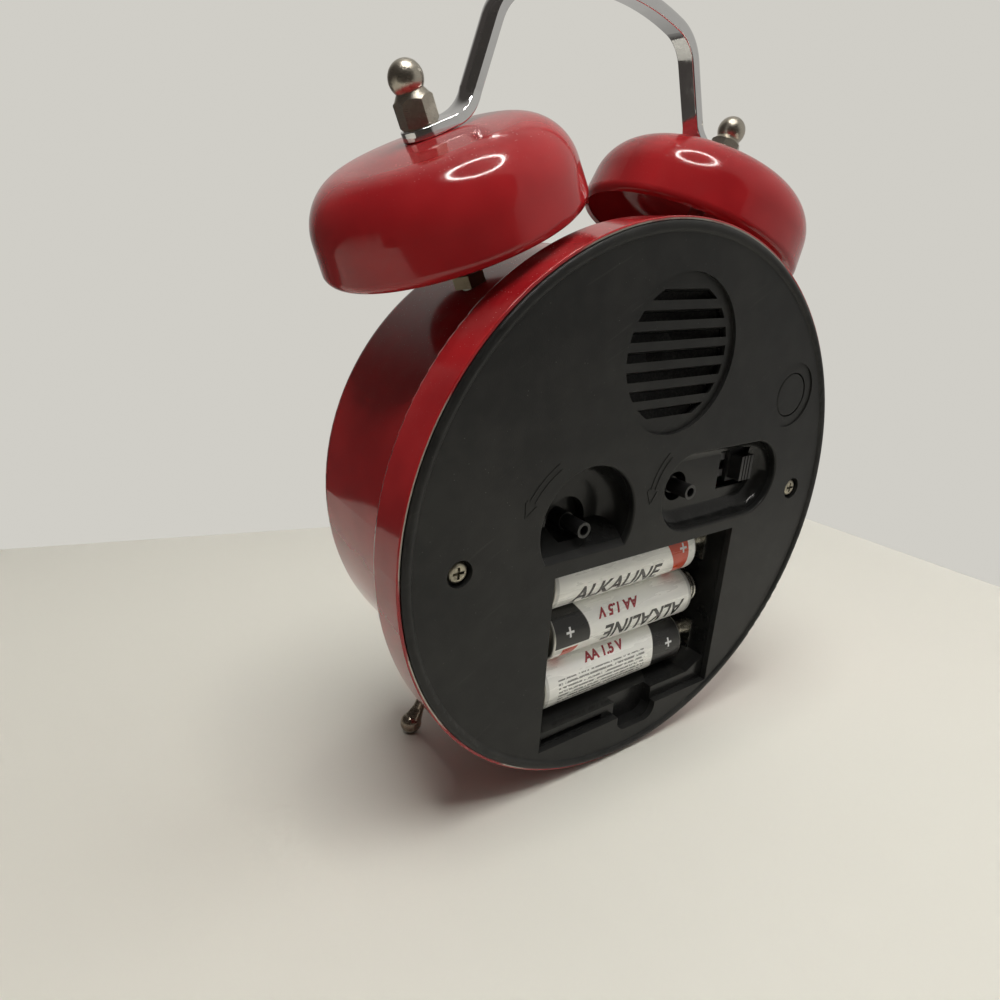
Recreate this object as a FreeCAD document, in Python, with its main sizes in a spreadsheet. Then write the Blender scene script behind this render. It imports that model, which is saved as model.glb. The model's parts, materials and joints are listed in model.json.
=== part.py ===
import FreeCAD, Part
import math
import os
import Sketcher

# Twin-bell alarm clock with an electronic alarm, standing on the rear flange and two front feet.
# Every sub-part is drawn in the case frame: X to the right of someone who faces the dial, Y from the
# dial to the rear cover, Z up the dial, origin in the middle of the rear cover's outer face. A depth is
# measured from that face towards the dial, so a point at a depth has y = -depth. The finished clock is
# then leaned back and set down, with the origin on the table under the middle of its box.

sizes = {
    # stance
    "leanAngle": 7.5,
    # case drum
    "drumRadius": 59.9,
    "drumFrontRadius": 58.9,
    "drumWall": 0.65,
    "caseDepth": 56.3,
    "frontRoll": 3.8,
    "openingRadius": 52.0,
    "flangeRadius": 67.7,
    "flangeDepth": 12.1,
    "rimDepth": 0.4,
    "rimRound": 0.3,
    "flangeRound": 1.6,
    "flangeTaper": 0.5,
    # rear cover
    "coverGap": 0.15,
    "coverPlate": 2.5,
    "skirtWall": 1.9,
    "beadWidth": 2.3,
    "beadRadius": 1.4,
    "mouthRound": 0.5,
    # cover screws and their brackets
    "screwEast": 53.7,
    "screwWest": 55.6,
    "screwHeight": -1.25,
    "screwHeadRadius": 2.4,
    "screwHeadThick": 1.6,
    "domeShare": 0.6,
    "screwRadius": 1.25,
    "screwReach": 2.0,
    "sinkRadius": 3.0,
    "sinkDepth": 2.1,
    "bossRadius": 4.2,
    "driveLength": 2.7,
    "driveWidth": 0.6,
    "driveDepth": 0.85,
    "bracketThick": 1.6,
    "bracketWide": 10.5,
    "bracketLeg": 8.4,
    "holeGap": 0.15,
    # bells, their studs and the handle ends
    "bellDepth": 33.9,
    "bellTilt": 23.8,
    "ballSide": 48.6,
    "ballHeight": 89.0,
    "ballRadius": 3.55,
    "neckRadius": 2.6,
    "hexTop": 3.2,
    "hexAcross": 7.1,
    "hexTall": 5.4,
    "hexTurn": 25.0,
    "strapThick": 2.15,
    "strapWide": 8.6,
    "bellWall": 0.9,
    "crownRadius": 157.0,
    "crownReach": 18.6,
    "shoulderRadius": 11.85,
    "shoulderEnd": 85.0,
    "bellSkirt": 6.1,
    "lipRadius": 2.3,
    "lipEnd": 150.0,
    "studRadius": 2.0,
    "studInHex": 4.2,
    "studTail": 1.0,
    "nutAcross": 7.0,
    "nutThick": 2.8,
    "seatGap": 0.15,
    # handle
    "handleTop": 113.45,
    "handleCrown": 64.0,
    "handleCorner": 11.0,
    "handleBend": 9.0,
    "bendSteps": 4,
    "legSide": 34.75,
    "legHeight": 87.15,
    "legSlope": 18.4,
    "barWide": 5.0,
    "barThick": 3.65,
    "barSide": 1.85,
    "barRound": 0.3,
    # front feet
    "footSetback": 13.8,
    "footAngle": 29.5,
    "footBall": 2.95,
    "footNeckShare": 0.8,
    "footStem": 1.6,
    "footCollar": 2.85,
    "footCollarTall": 2.3,
    # speaker grille and speaker
    "grilleSide": -2.3,
    "grilleHeight": 38.85,
    "grilleRadius": 18.05,
    "grilleSink": 0.95,
    "slotReach": 15.75,
    "slotPitch": 4.3,
    "slotTall": 2.0,
    "slotSlant": 30.0,
    "slotCount": 7,
    "speakerRadius": 18.9,
    "speakerRim": 2.7,
    "speakerRimThick": 1.25,
    "speakerDepth": 12.0,
    "basketRadius": 8.4,
    "basketWall": 0.7,
    "coneThick": 0.4,
    "coneDepth": 3.6,
    "dustCapRadius": 4.2,
    "magnetRadius": 10.0,
    "magnetTall": 3.4,
    "speakerWall": 1.25,
    "speakerWallTall": 3.15,
    # wells of the setting stems
    "timeSide": 19.85,
    "timeHeight": 0.75,
    "timeWellHeight": 2.65,
    "timeWellRadius": 13.65,
    "timeWellFlat": -4.6,
    "timeWellSlant": 30.0,
    "wellDepth": 8.4,
    "wellFloorRound": 4.7,
    "wellWall": 1.25,
    "alarmSide": -13.1,
    "alarmHeight": 4.7,
    "alarmWellRadius": 10.0,
    "alarmWellEnd": -36.2,
    "alarmWellDepth": 5.3,
    "alarmFloorRound": 3.8,
    "stemRadius": 1.9,
    "stemSeat": 6.3,
    "stemShaft": 2.15,
    "stemBore": 1.2,
    "stemBoreDeep": 5.5,
    "timeStemTop": 1.6,
    "alarmStemTop": 0.3,
    "stemGap": 0.05,
    "timePitRadius": 5.8,
    "alarmPitRadius": 3.8,
    "pitDepth": 11.6,
    # slide switch
    "leverSide": -37.8,
    "leverHeight": 6.4,
    "leverWide": 4.7,
    "leverTall": 6.7,
    "leverTop": 3.15,
    "leverTravel": 6.0,
    "leverGap": 0.3,
    "leverFoot": 1.0,
    "leverPin": 2.0,
    "ribCount": 3,
    "ribDeep": 0.4,
    "leverSlotSpare": 1.8,
    "leverLip": 1.0,
    "switchSpare": 3.0,
    # push button
    "buttonSide": -47.1,
    "buttonHeight": 25.9,
    "buttonRadius": 5.6,
    "buttonGap": 0.2,
    "buttonFlange": 1.0,
    "buttonTravel": 0.9,
    "buttonLip": 1.2,
    "buttonStem": 1.7,
    "dishRadius": 8.4,
    "dishDepth": 0.35,
    # circuit board
    "boardDepth": 15.6,
    "boardThick": 1.6,
    "boardEast": -19.4,
    "boardLow": -2.1,
    "boardHigh": 34.7,
    "boardRadius": 57.0,
    "standoffRadius": 2.4,
    "standoffInset": 4.5,
    "standoffDrop": 5.2,
    "standoffAside": 9.7,
    "boardScrewRadius": 1.0,
    "boardScrewHead": 2.1,
    "boardScrewDeep": 4.0,
    "tactWide": 6.0,
    "tactTall": 3.5,
    "tactPlunger": 1.75,
    "chipLength": 8.4,
    "chipTall": 6.3,
    "chipThick": 1.5,
    "chipInset": 13.6,
    "chipDrop": 16.8,
    "capacitorRadius": 2.3,
    "capacitorGap": 4.65,
    "crystalLength": 6.3,
    "crystalTall": 2.1,
    "crystalDrop": 22.0,
    # battery bay and cells
    "cellRadius": 7.1,
    "cellLength": 50.5,
    "cellNub": 1.3,
    "cellNubRadius": 2.75,
    "cellRound": 0.7,
    "cellPitch": 14.4,
    "cellDepth": 12.1,
    "cellGap": 0.3,
    "cellMiddle": -1.5,
    "topCellHeight": -16.1,
    "bayEast": 27.7,
    "bayWest": -31.8,
    "bayOpenTop": -8.4,
    "bayWall": 1.5,
    "bayRimWall": 0.5,
    "doorEast": 28.6,
    "doorWest": -32.1,
    "doorLow": -55.9,
    "doorDepth": 2.1,
    "notchWest": -11.6,
    "notchEast": 2.1,
    "notchLow": -60.5,
    "notchDepth": 4.8,
    "hingeSlotEast": 26.3,
    "hingeSlotWest": 6.3,
    "hingeSlotTall": 1.7,
    "hingeSlotDepth": 4.4,
    "springWire": 0.6,
    "springRadius": 4.7,
    "springStep": 0.5,
    "springTurns": 5,
    "plateThick": 0.4,
    "plateWide": 9.4,
    "plateButton": 2.2,
    # dial stack
    "lensThick": 1.7,
    "lensDome": 2.5,
    "lensRadius": 53.8,
    "lensDomeReach": 51.4,
    "spacerTall": 6.1,
    "spacerRadius": 56.7,
    "spacerMouth": 52.3,
    "spacerTaper": 1.25,
    "dialRadius": 57.3,
    "dialThick": 0.85,
    "frameRadius": 54.9,
    "frameInner": 43.0,
    "frameThick": 2.5,
    "pillarRadius": 3.15,
    "pillarHighSide": 32.5,
    "pillarHigh": 38.9,
    "pillarLowSide": 44.1,
    "pillarLow": -23.1,
    # movement
    "movementHalf": 29.4,
    "statorShare": 0.62,
    "bobbinShare": 0.45,
    "movementThick": 17.85,
    "movementWall": 1.25,
    "movementSplit": 8.4,
    "bushRadius": 3.8,
    "bushTall": 1.6,
    "tubeGap": 0.05,
    "arborRadius": 0.4,
    "toothTall": 0.85,
    "toothDeep": 1.15,
    "toothRoot": 0.25,
    "toothTip": 0.11,
    "cannonRadius": 1.05,
    "hourRadius": 1.9,
    "alarmRadius": 2.7,
    "movementNutRadius": 5.7,
    "movementNutThick": 1.2,
    "wheelOffset": 5.35,
    "motionStep": 4.8,
    "hourStep": 2.7,
    "alarmStep": 3.7,
    "pinionTeeth": 12,
    "minuteTeeth": 36,
    "minutePinionTeeth": 10,
    "hourTeeth": 40,
    "alarmTeeth": 48,
    "secondTeeth": 60,
    "wheelThick": 1.25,
    "postRadius": 0.85,
    "coilRadius": 3.3,
    "coilFlange": 4.4,
    "coreRadius": 1.5,
    "statorHalf": 1.7,
    "statorArm": 8.4,
    # hands
    "handThick": 0.4,
    "handStep": 1.2,
    "handFirst": 0.4,
    "hourReach": 27.3,
    "hourHalf": 2.7,
    "minuteReach": 41.0,
    "minuteHalf": 2.2,
    "secondReach": 44.0,
    "secondHalf": 0.5,
    "alarmReach": 21.0,
    "alarmHalf": 1.15,
    "hubExtra": 1.7,
    "tailShare": 0.4,
    "secondTail": 0.25,
    "leafTail": 0.35,
    "leafNeck": 0.45,
    "leafNeckReach": 0.12,
    "leafWideReach": 0.62,
    "leafTip": 0.12,
    "clockHour": 10.0,
    "clockMinute": 9.0,
    "clockSecond": 36.0,
    "alarmHour": 7.0,
}

document = FreeCAD.newDocument("TwinBellClock")
sheet = document.addObject("Spreadsheet::Sheet", "Sizes")
for row, (name, number) in enumerate(sizes.items(), 1):
    sheet.set(f"A{row}", name)
    sheet.set(f"B{row}", str(number))
    sheet.setAlias(f"B{row}", name)
document.recompute()


class Size:
    # A length or angle as a number, to draw with, and as the expression that gives it, to bind with.
    def __init__(self, value, text):
        self.value = value
        self.text = text

    def __add__(self, other):
        return joined(self, "+", other, lambda a, b: a + b)

    def __radd__(self, other):
        return joined(other, "+", self, lambda a, b: a + b)

    def __sub__(self, other):
        return joined(self, "-", other, lambda a, b: a - b)

    def __rsub__(self, other):
        return joined(other, "-", self, lambda a, b: a - b)

    def __mul__(self, other):
        return joined(self, "*", other, lambda a, b: a * b)

    def __rmul__(self, other):
        return joined(other, "*", self, lambda a, b: a * b)

    def __truediv__(self, other):
        return joined(self, "/", other, lambda a, b: a / b)

    def __neg__(self):
        return joined(0, "-", self, lambda a, b: a - b)


def number(size):
    return size.value if isinstance(size, Size) else float(size)


def wording(size):
    return size.text if isinstance(size, Size) else repr(float(size))


def joined(left, sign, right, work):
    return Size(work(number(left), number(right)), f"({wording(left)} {sign} {wording(right)})")


def sine(angle):
    return Size(math.sin(math.radians(angle.value)), f"sin({angle.text})")


def cosine(angle):
    return Size(math.cos(math.radians(angle.value)), f"cos({angle.text})")


def tangent(angle):
    return Size(math.tan(math.radians(angle.value)), f"tan({angle.text})")


def arcSine(ratio):
    return Size(math.degrees(math.asin(ratio.value)), f"asin({ratio.text})")


def root(area):
    return Size(math.sqrt(area.value), f"sqrt({area.text})")


class Sheet:
    # The sheet's sizes, by their aliases.
    def __getattr__(self, name):
        return Size(float(sheet.get(name)), f"Sizes.{name}")


size = Sheet()
xAxis = FreeCAD.Vector(1, 0, 0)
yAxis = FreeCAD.Vector(0, 1, 0)
zAxis = FreeCAD.Vector(0, 0, 1)
sides = {"right": 1, "left": -1}
nodes = []


def bind(item, place, amount):
    if isinstance(amount, Size):
        item.setExpression(place, amount.text)
    elif place.startswith("Placement.Base."):
        setattr(item.Placement.Base, place[-1], amount)
    else:
        setattr(item, place, amount)


def putAt(item, x, y, z, rotation=None):
    # Places a building block, with each coordinate bound where it comes from the sheet.
    spot = FreeCAD.Vector(number(x), number(y), number(z))
    item.Placement = FreeCAD.Placement(spot, rotation or FreeCAD.Rotation())
    for letter, amount in zip("xyz", (x, y, z)):
        if isinstance(amount, Size):
            item.setExpression(f"Placement.Base.{letter}", amount.text)
    return item


def keep(item, name):
    # Makes an object one of the clock's sub-parts, under the name of its file.
    item.Label = name
    nodes.append(item)
    return item


# Building blocks

def slab(name, west, east, rear, front, low, high):
    item = document.addObject("Part::Box", name)
    bind(item, "Length", east - west)
    bind(item, "Width", front - rear)
    bind(item, "Height", high - low)
    return putAt(item, west, -front, low)


def rod(name, x, z, rear, front, radius):
    # A cylinder along the case axis, between two depths.
    item = document.addObject("Part::Cylinder", name)
    bind(item, "Radius", radius)
    bind(item, "Height", front - rear)
    return putAt(item, x, -front, z, FreeCAD.Rotation(xAxis, -90))


def bar(name, x, depth, z, length, radius):
    # A cylinder along X, from x towards +X.
    item = document.addObject("Part::Cylinder", name)
    bind(item, "Radius", radius)
    bind(item, "Height", length)
    return putAt(item, x, -depth, z, FreeCAD.Rotation(yAxis, 90))


def pole(name, low, high, radius):
    # A cylinder on the local Z axis.
    item = document.addObject("Part::Cylinder", name)
    bind(item, "Radius", radius)
    bind(item, "Height", high - low)
    return putAt(item, 0, 0, low)


def hexagon(name, low, high, across, turn=0):
    # A hexagonal prism on the local Z axis, by its width across the flats, turned about that axis.
    item = document.addObject("Part::Prism", name)
    item.Polygon = 6
    bind(item, "Circumradius", across / math.sqrt(3))
    bind(item, "Height", high - low)
    return putAt(item, 0, 0, low, FreeCAD.Rotation(zAxis, turn))


def fused(name, pieces):
    item = document.addObject("Part::MultiFuse", name)
    item.Shapes = pieces
    return item


def cut(name, base, tool):
    item = document.addObject("Part::Cut", name)
    item.Base = base
    item.Tool = tool
    return item


def common(name, pieces):
    item = document.addObject("Part::MultiCommon", name)
    item.Shapes = pieces
    return item


def group(name, pieces):
    item = document.addObject("Part::Compound", name)
    item.Links = pieces
    return keep(item, name)


def rounded(name, base, radius, wanted):
    # Rounds the edges of a finished shape that the test "wanted" picks.
    document.recompute()
    item = document.addObject("Part::Fillet", name)
    item.Base = base
    amount = number(radius)
    item.Edges = [(i, amount, amount) for i, edge in enumerate(base.Shape.Edges, 1) if wanted(edge)]
    return item


def sketchOn(body, name, role):
    sketch = body.newObject("Sketcher::SketchObject", name)
    plane = next(item for item in body.Origin.OriginFeatures if item.Role == role)
    sketch.AttachmentSupport = [(plane, "")]
    sketch.MapMode = "FlatFace"
    return sketch


def arcEdge(start, end, radius, side):
    # The shorter arc from start to end, its centre on the left for side 1. Sketch arcs run
    # anticlockwise, so the flag says whether the arc was turned round.
    chord = end - start
    half = chord.Length / 2
    normal = FreeCAD.Vector(-chord.y, chord.x, 0).normalize()
    centre = (start + end) / 2 + normal * side * math.sqrt(max(radius * radius - half * half, 0))
    angles = [math.atan2(p.y - centre.y, p.x - centre.x) for p in (start, end)]
    turned = side < 0
    if turned:
        angles.reverse()
    circle = Part.Circle(centre, zAxis, radius)
    return Part.ArcOfCircle(circle, angles[0], angles[1]), turned


def outline(sketch, corners):
    # Draws a closed outline. A corner is (x, y), reached by a line, or (x, y, radius, side), reached by
    # an arc. Every corner and radius is bound to the sheet.
    spots = [FreeCAD.Vector(number(c[0]), number(c[1]), 0) for c in corners]
    ends = []
    for i, corner in enumerate(corners):
        start = spots[i - 1]
        if len(corner) == 2:
            edge = sketch.addGeometry(Part.LineSegment(start, spots[i]), False)
            ends.append((edge, 1, 2))
            continue
        shape, turned = arcEdge(start, spots[i], number(corner[2]), corner[3])
        edge = sketch.addGeometry(shape, False)
        ends.append((edge, 2, 1) if turned else (edge, 1, 2))
    for i, corner in enumerate(corners):
        edge, first, last = ends[i]
        following = ends[(i + 1) % len(ends)]
        sketch.addConstraint(Sketcher.Constraint("Coincident", edge, last, following[0], following[1]))
        for kind, amount, axis in (("DistanceX", corner[0], -2), ("DistanceY", corner[1], -1)):
            if abs(number(amount)) < 1e-9:
                sketch.addConstraint(Sketcher.Constraint("PointOnObject", edge, last, axis))
                continue
            rule = sketch.addConstraint(Sketcher.Constraint(kind, -1, 1, edge, last, number(amount)))
            if isinstance(amount, Size):
                sketch.setExpression(f"Constraints[{rule}]", amount.text)
        if len(corner) > 2:
            rule = sketch.addConstraint(Sketcher.Constraint("Radius", edge, number(corner[2])))
            if isinstance(corner[2], Size):
                sketch.setExpression(f"Constraints[{rule}]", corner[2].text)


def turned(name, corners, role="XY_Plane"):
    # A body of revolution: about Y from the XY plane, about Z from the XZ plane. Corners are
    # (radius, height).
    body = document.addObject("PartDesign::Body", name)
    sketch = sketchOn(body, f"{name}_profile", role)
    outline(sketch, corners)
    feature = body.newObject("PartDesign::Revolution", f"{name}_turn")
    feature.Profile = sketch
    feature.ReferenceAxis = (sketch, ["V_Axis"])
    feature.Angle = 360
    sketch.Visibility = False
    return body


def padded(name, corners, rear, front, role="XZ_Plane"):
    # A plate cut to an outline in the dial plane, between two depths.
    body = document.addObject("PartDesign::Body", name)
    sketch = sketchOn(body, f"{name}_outline", role)
    outline(sketch, corners)
    sketch.setExpression("AttachmentOffset.Base.z", wording(rear))
    feature = body.newObject("PartDesign::Pad", f"{name}_pad")
    feature.Profile = sketch
    bind(feature, "Length", front - rear)
    return body


# Sizes that follow from the sheet

drumTaper = (size.drumRadius - size.drumFrontRadius) / (size.caseDepth - size.frontRoll - size.flangeDepth)


def drumOutside(depth):
    return size.drumRadius - drumTaper * (depth - size.flangeDepth)


def drumInside(depth):
    return drumOutside(depth) - size.drumWall


coverRadius = size.flangeRadius - size.drumWall - size.coverGap
seatDepth = size.flangeDepth - size.drumWall
bossFront = seatDepth - size.seatGap
lensFront = size.caseDepth - size.drumWall
lensRear = lensFront - size.lensThick
dialFront = lensRear - size.spacerTall
dialRear = dialFront - size.dialThick
movementRear = dialRear - size.movementThick
alarmOuter = size.alarmWellDepth + size.wellWall
footDepth = size.caseDepth - size.footSetback
bayFloor = size.cellDepth + size.cellRadius + size.cellGap
trayReach = drumInside(bayFloor + size.bayWall) - size.coverGap
bayReach = trayReach - size.bayRimWall
bellAlong = size.ballSide * sine(size.bellTilt) + size.ballHeight * cosine(size.bellTilt)
bellAcross = size.ballSide * cosine(size.bellTilt) - size.ballHeight * sine(size.bellTilt)
hexBottom = size.hexTop + size.hexTall
bellTop = hexBottom + size.strapThick
screwSides = {"right": size.screwEast, "left": -size.screwWest}
# Side, height, and depth of the well's floor, for each setting stem.
stemPlaces = {
    "time": (size.timeSide, size.timeHeight, size.wellDepth, size.timePitRadius),
    "alarm": (size.alarmSide, size.alarmHeight, size.alarmWellDepth, size.alarmPitRadius),
}
nutCorner = size.nutAcross / math.sqrt(3)


# Case

def caseDrum():
    rollMiddle = size.drumFrontRadius - size.frontRoll
    rollDepth = size.caseDepth - size.frontRoll
    rimInner = size.flangeRadius - size.drumWall
    flangeFront = size.flangeRadius - size.flangeTaper
    seatInner = flangeFront - size.drumWall
    shell = turned("drum_shell", [
        (rimInner, -size.rimDepth),
        (size.flangeRadius - size.rimRound, -size.rimDepth),
        (size.flangeRadius, -size.rimDepth - size.rimRound, size.rimRound, -1),
        (flangeFront, -size.flangeDepth + size.flangeRound),
        (flangeFront - size.flangeRound, -size.flangeDepth, size.flangeRound, -1),
        (size.drumRadius, -size.flangeDepth),
        (size.drumFrontRadius, -rollDepth),
        (rollMiddle, -size.caseDepth, size.frontRoll, -1),
        (size.openingRadius, -size.caseDepth),
        (size.openingRadius, -size.caseDepth + size.drumWall),
        (rollMiddle, -size.caseDepth + size.drumWall),
        (size.drumFrontRadius - size.drumWall, -rollDepth, size.frontRoll - size.drumWall, 1),
        (size.drumRadius - size.drumWall, -seatDepth),
        (seatInner, -seatDepth),
    ])
    drills = [studDrill(side) for side in sides] + [footDrill(side) for side in sides]
    keep(cut("case_drum", shell, fused("drum_drills", drills)), "case_drum")


def studPlace(side):
    # Local frame of a bell: origin at the ball's centre, Z outwards along the stud.
    turn = FreeCAD.Rotation(yAxis, sides[side] * size.bellTilt.value)
    spot = FreeCAD.Vector(sides[side] * size.ballSide.value, -size.bellDepth.value, size.ballHeight.value)
    return FreeCAD.Placement(spot, turn)


def footPlace(side):
    # Local frame of a foot: origin on the case axis, Z outwards along the stem.
    turn = FreeCAD.Rotation(yAxis, sides[side] * (180 - size.footAngle.value))
    return FreeCAD.Placement(FreeCAD.Vector(0, -footDepth.value, 0), turn)


def placed(item, place):
    # A primitive's own place is bound to the sheet, so it is carried by a holder.
    if item.TypeId in ("Part::Cylinder", "Part::Prism"):
        holder = document.addObject("Part::Compound", f"{item.Name}_held")
        holder.Links = [item]
        item = holder
    item.Placement = place.multiply(item.Placement)
    return item


def studDrill(side):
    item = document.addObject("Part::Cylinder", f"stud_drill_{side}")
    bind(item, "Radius", size.studRadius + size.holeGap)
    reach = bellAlong - size.drumRadius / 2
    bind(item, "Height", reach)
    over = FreeCAD.Rotation(xAxis, 180)
    item.Placement = studPlace(side).multiply(FreeCAD.Placement(FreeCAD.Vector(), over))
    return item


def footDrill(side):
    item = document.addObject("Part::Cylinder", f"foot_drill_{side}")
    bind(item, "Radius", size.footStem + size.holeGap)
    bind(item, "Height", size.flangeRadius)
    item.Placement = footPlace(side)
    return item


def coverBrackets():
    # Sheet angles riveted to the drum wall, tapped for the cover screws.
    half = size.bracketWide / 2
    corner = half - size.screwHeight
    legEnd = bossFront + size.bracketThick + size.bracketLeg
    reach = root(drumInside(legEnd) * drumInside(legEnd) - corner * corner) - size.tubeGap
    low = size.screwHeight - half
    high = size.screwHeight + half
    made = []
    for side, sign in sides.items():
        inner = sign * screwSides[side] - size.bossRadius
        spans = [(inner, reach), (reach - size.bracketThick, reach)]
        west, east = zip(*[(a, b) if sign > 0 else (-b, -a) for a, b in spans])
        plate = slab(f"bracket_plate_{side}", west[0], east[0], bossFront,
                     bossFront + size.bracketThick, low, high)
        leg = slab(f"bracket_leg_{side}", west[1], east[1], bossFront, legEnd, low, high)
        tapped = rod(f"bracket_thread_{side}", screwSides[side], size.screwHeight, bossFront - 1,
                     legEnd, size.screwRadius)
        angle = fused(f"bracket_angle_{side}", [plate, leg])
        made.append(cut(f"bracket_{side}", angle, tapped))
    group("cover_brackets", made)


def coverScrews():
    # Pan-head screws with a cross recess.
    made = []
    headTop = size.sinkDepth - size.screwHeadThick
    tip = bossFront + size.bracketThick + size.screwReach
    for side, x in screwSides.items():
        z = size.screwHeight
        head = rod(f"screw_head_{side}", x, z, headTop, size.sinkDepth, size.screwHeadRadius)
        dome = rounded(f"screw_dome_{side}", head, size.screwHeadThick * size.domeShare,
                       lambda edge: isCircleAt(edge, -headTop.value))
        shank = rod(f"screw_shank_{side}", x, z, size.sinkDepth, tip, size.screwRadius)
        long = size.driveLength / 2
        wide = size.driveWidth / 2
        deep = headTop + size.driveDepth
        cross = [
            slab(f"cross_a_{side}", x - long, x + long, headTop - 1, deep, z - wide, z + wide),
            slab(f"cross_b_{side}", x - wide, x + wide, headTop - 1, deep, z - long, z + long),
        ]
        solid = fused(f"screw_solid_{side}", [dome, shank])
        made.append(cut(f"screw_{side}", solid, fused(f"cross_{side}", cross)))
    group("cover_screws", made)


def isCircleAt(edge, y):
    # A full or part circle that lies flat at height y on the case axis.
    return hasattr(edge.Curve, "Radius") and all(abs(v.Y - y) < 1e-5 for v in edge.Vertexes)


def liesAt(edge, depth):
    return all(abs(v.Y + depth) < 1e-5 for v in edge.Vertexes)


# Rear cover

def timeWell(name, grow, top):
    # The D-shaped well: a round pocket with a rounded floor, its lower side cut by a slanted plane.
    floor = size.wellDepth + grow
    pocket = rod(f"{name}_pocket", size.timeSide, size.timeWellHeight, top, floor, size.timeWellRadius + grow)
    dish = rounded(f"{name}_dish", pocket, size.wellFloorRound, lambda edge: isCircleAt(edge, -floor.value))
    reach = 3 * size.timeWellRadius
    block = document.addObject("Part::Box", f"{name}_slant")
    bind(block, "Length", reach)
    bind(block, "Width", reach)
    bind(block, "Height", reach)
    # The block hangs below the flat's line on the cover face and swings up towards the floor.
    turn = FreeCAD.Rotation(xAxis, -size.timeWellSlant.value)
    down = turn.multVec(FreeCAD.Vector(-reach.value / 2, -reach.value * 2 / 3, -reach.value))
    line = FreeCAD.Vector(size.timeSide.value, 0, size.timeWellFlat.value - number(grow))
    block.Placement = FreeCAD.Placement(line + down, turn)
    return cut(f"{name}_well", dish, block)


def alarmWell(name, grow, top):
    # The long well: straight sides between two half rounds, with a rounded floor.
    radius = size.alarmWellRadius + grow
    low = size.alarmHeight - radius
    high = size.alarmHeight + radius
    floor = size.alarmWellDepth + grow
    body = padded(f"{name}_well", [
        (size.alarmSide, low),
        (size.alarmSide + radius, size.alarmHeight, radius, 1),
        (size.alarmSide, high, radius, 1),
        (size.alarmWellEnd, high),
        (size.alarmWellEnd - radius, size.alarmHeight, radius, 1),
        (size.alarmWellEnd, low, radius, 1),
    ], top, floor)
    document.recompute()
    pad = body.Tip
    names = [f"Edge{i}" for i, edge in enumerate(pad.Shape.Edges, 1) if liesAt(edge, floor.value)]
    soft = body.newObject("PartDesign::Fillet", f"{name}_floor_round")
    soft.Base = (pad, names)
    bind(soft, "Radius", size.alarmFloorRound)
    return body


def grilleTools():
    recess = rod("grille_recess", size.grilleSide, size.grilleHeight, -1 * size.grilleSink, size.grilleSink,
                 size.grilleRadius)
    slats = []
    reach = 2 * size.slotReach
    turn = FreeCAD.Rotation(xAxis, size.slotSlant.value)
    count = int(size.slotCount.value)
    for i in range(count):
        height = size.grilleHeight + (i - (count - 1) / 2) * size.slotPitch
        slot = document.addObject("Part::Box", f"grille_slot_{i + 1}")
        bind(slot, "Length", reach)
        bind(slot, "Width", reach)
        bind(slot, "Height", size.slotTall)
        corner = turn.multVec(FreeCAD.Vector(0, -reach.value / 2, -size.slotTall.value / 2))
        middle = FreeCAD.Vector(size.grilleSide.value - reach.value / 2, -size.coverPlate.value / 2,
                                height.value)
        slot.Placement = FreeCAD.Placement(middle + corner, turn)
        slats.append(slot)
    edge = rod("grille_edge", size.grilleSide, size.grilleHeight, -1 * size.coverPlate, 2 * size.coverPlate,
               size.slotReach)
    return [recess, common("grille_slots", [fused("grille_slats", slats), edge])]


# Side, height and starting depth of each post that carries the circuit board.
standoffs = [
    (size.boardEast - size.standoffInset, size.boardHigh - size.standoffDrop, size.coverPlate),
    (size.buttonSide + size.standoffAside, size.buttonHeight - size.standoffDrop, size.coverPlate),
    (size.boardEast - size.standoffInset, size.alarmHeight - size.standoffDrop / 2, alarmOuter),
]


def bayReachRod(name, radius):
    return rod(name, 0, 0, size.coverPlate - 1, size.boardDepth * 2, radius)


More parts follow.
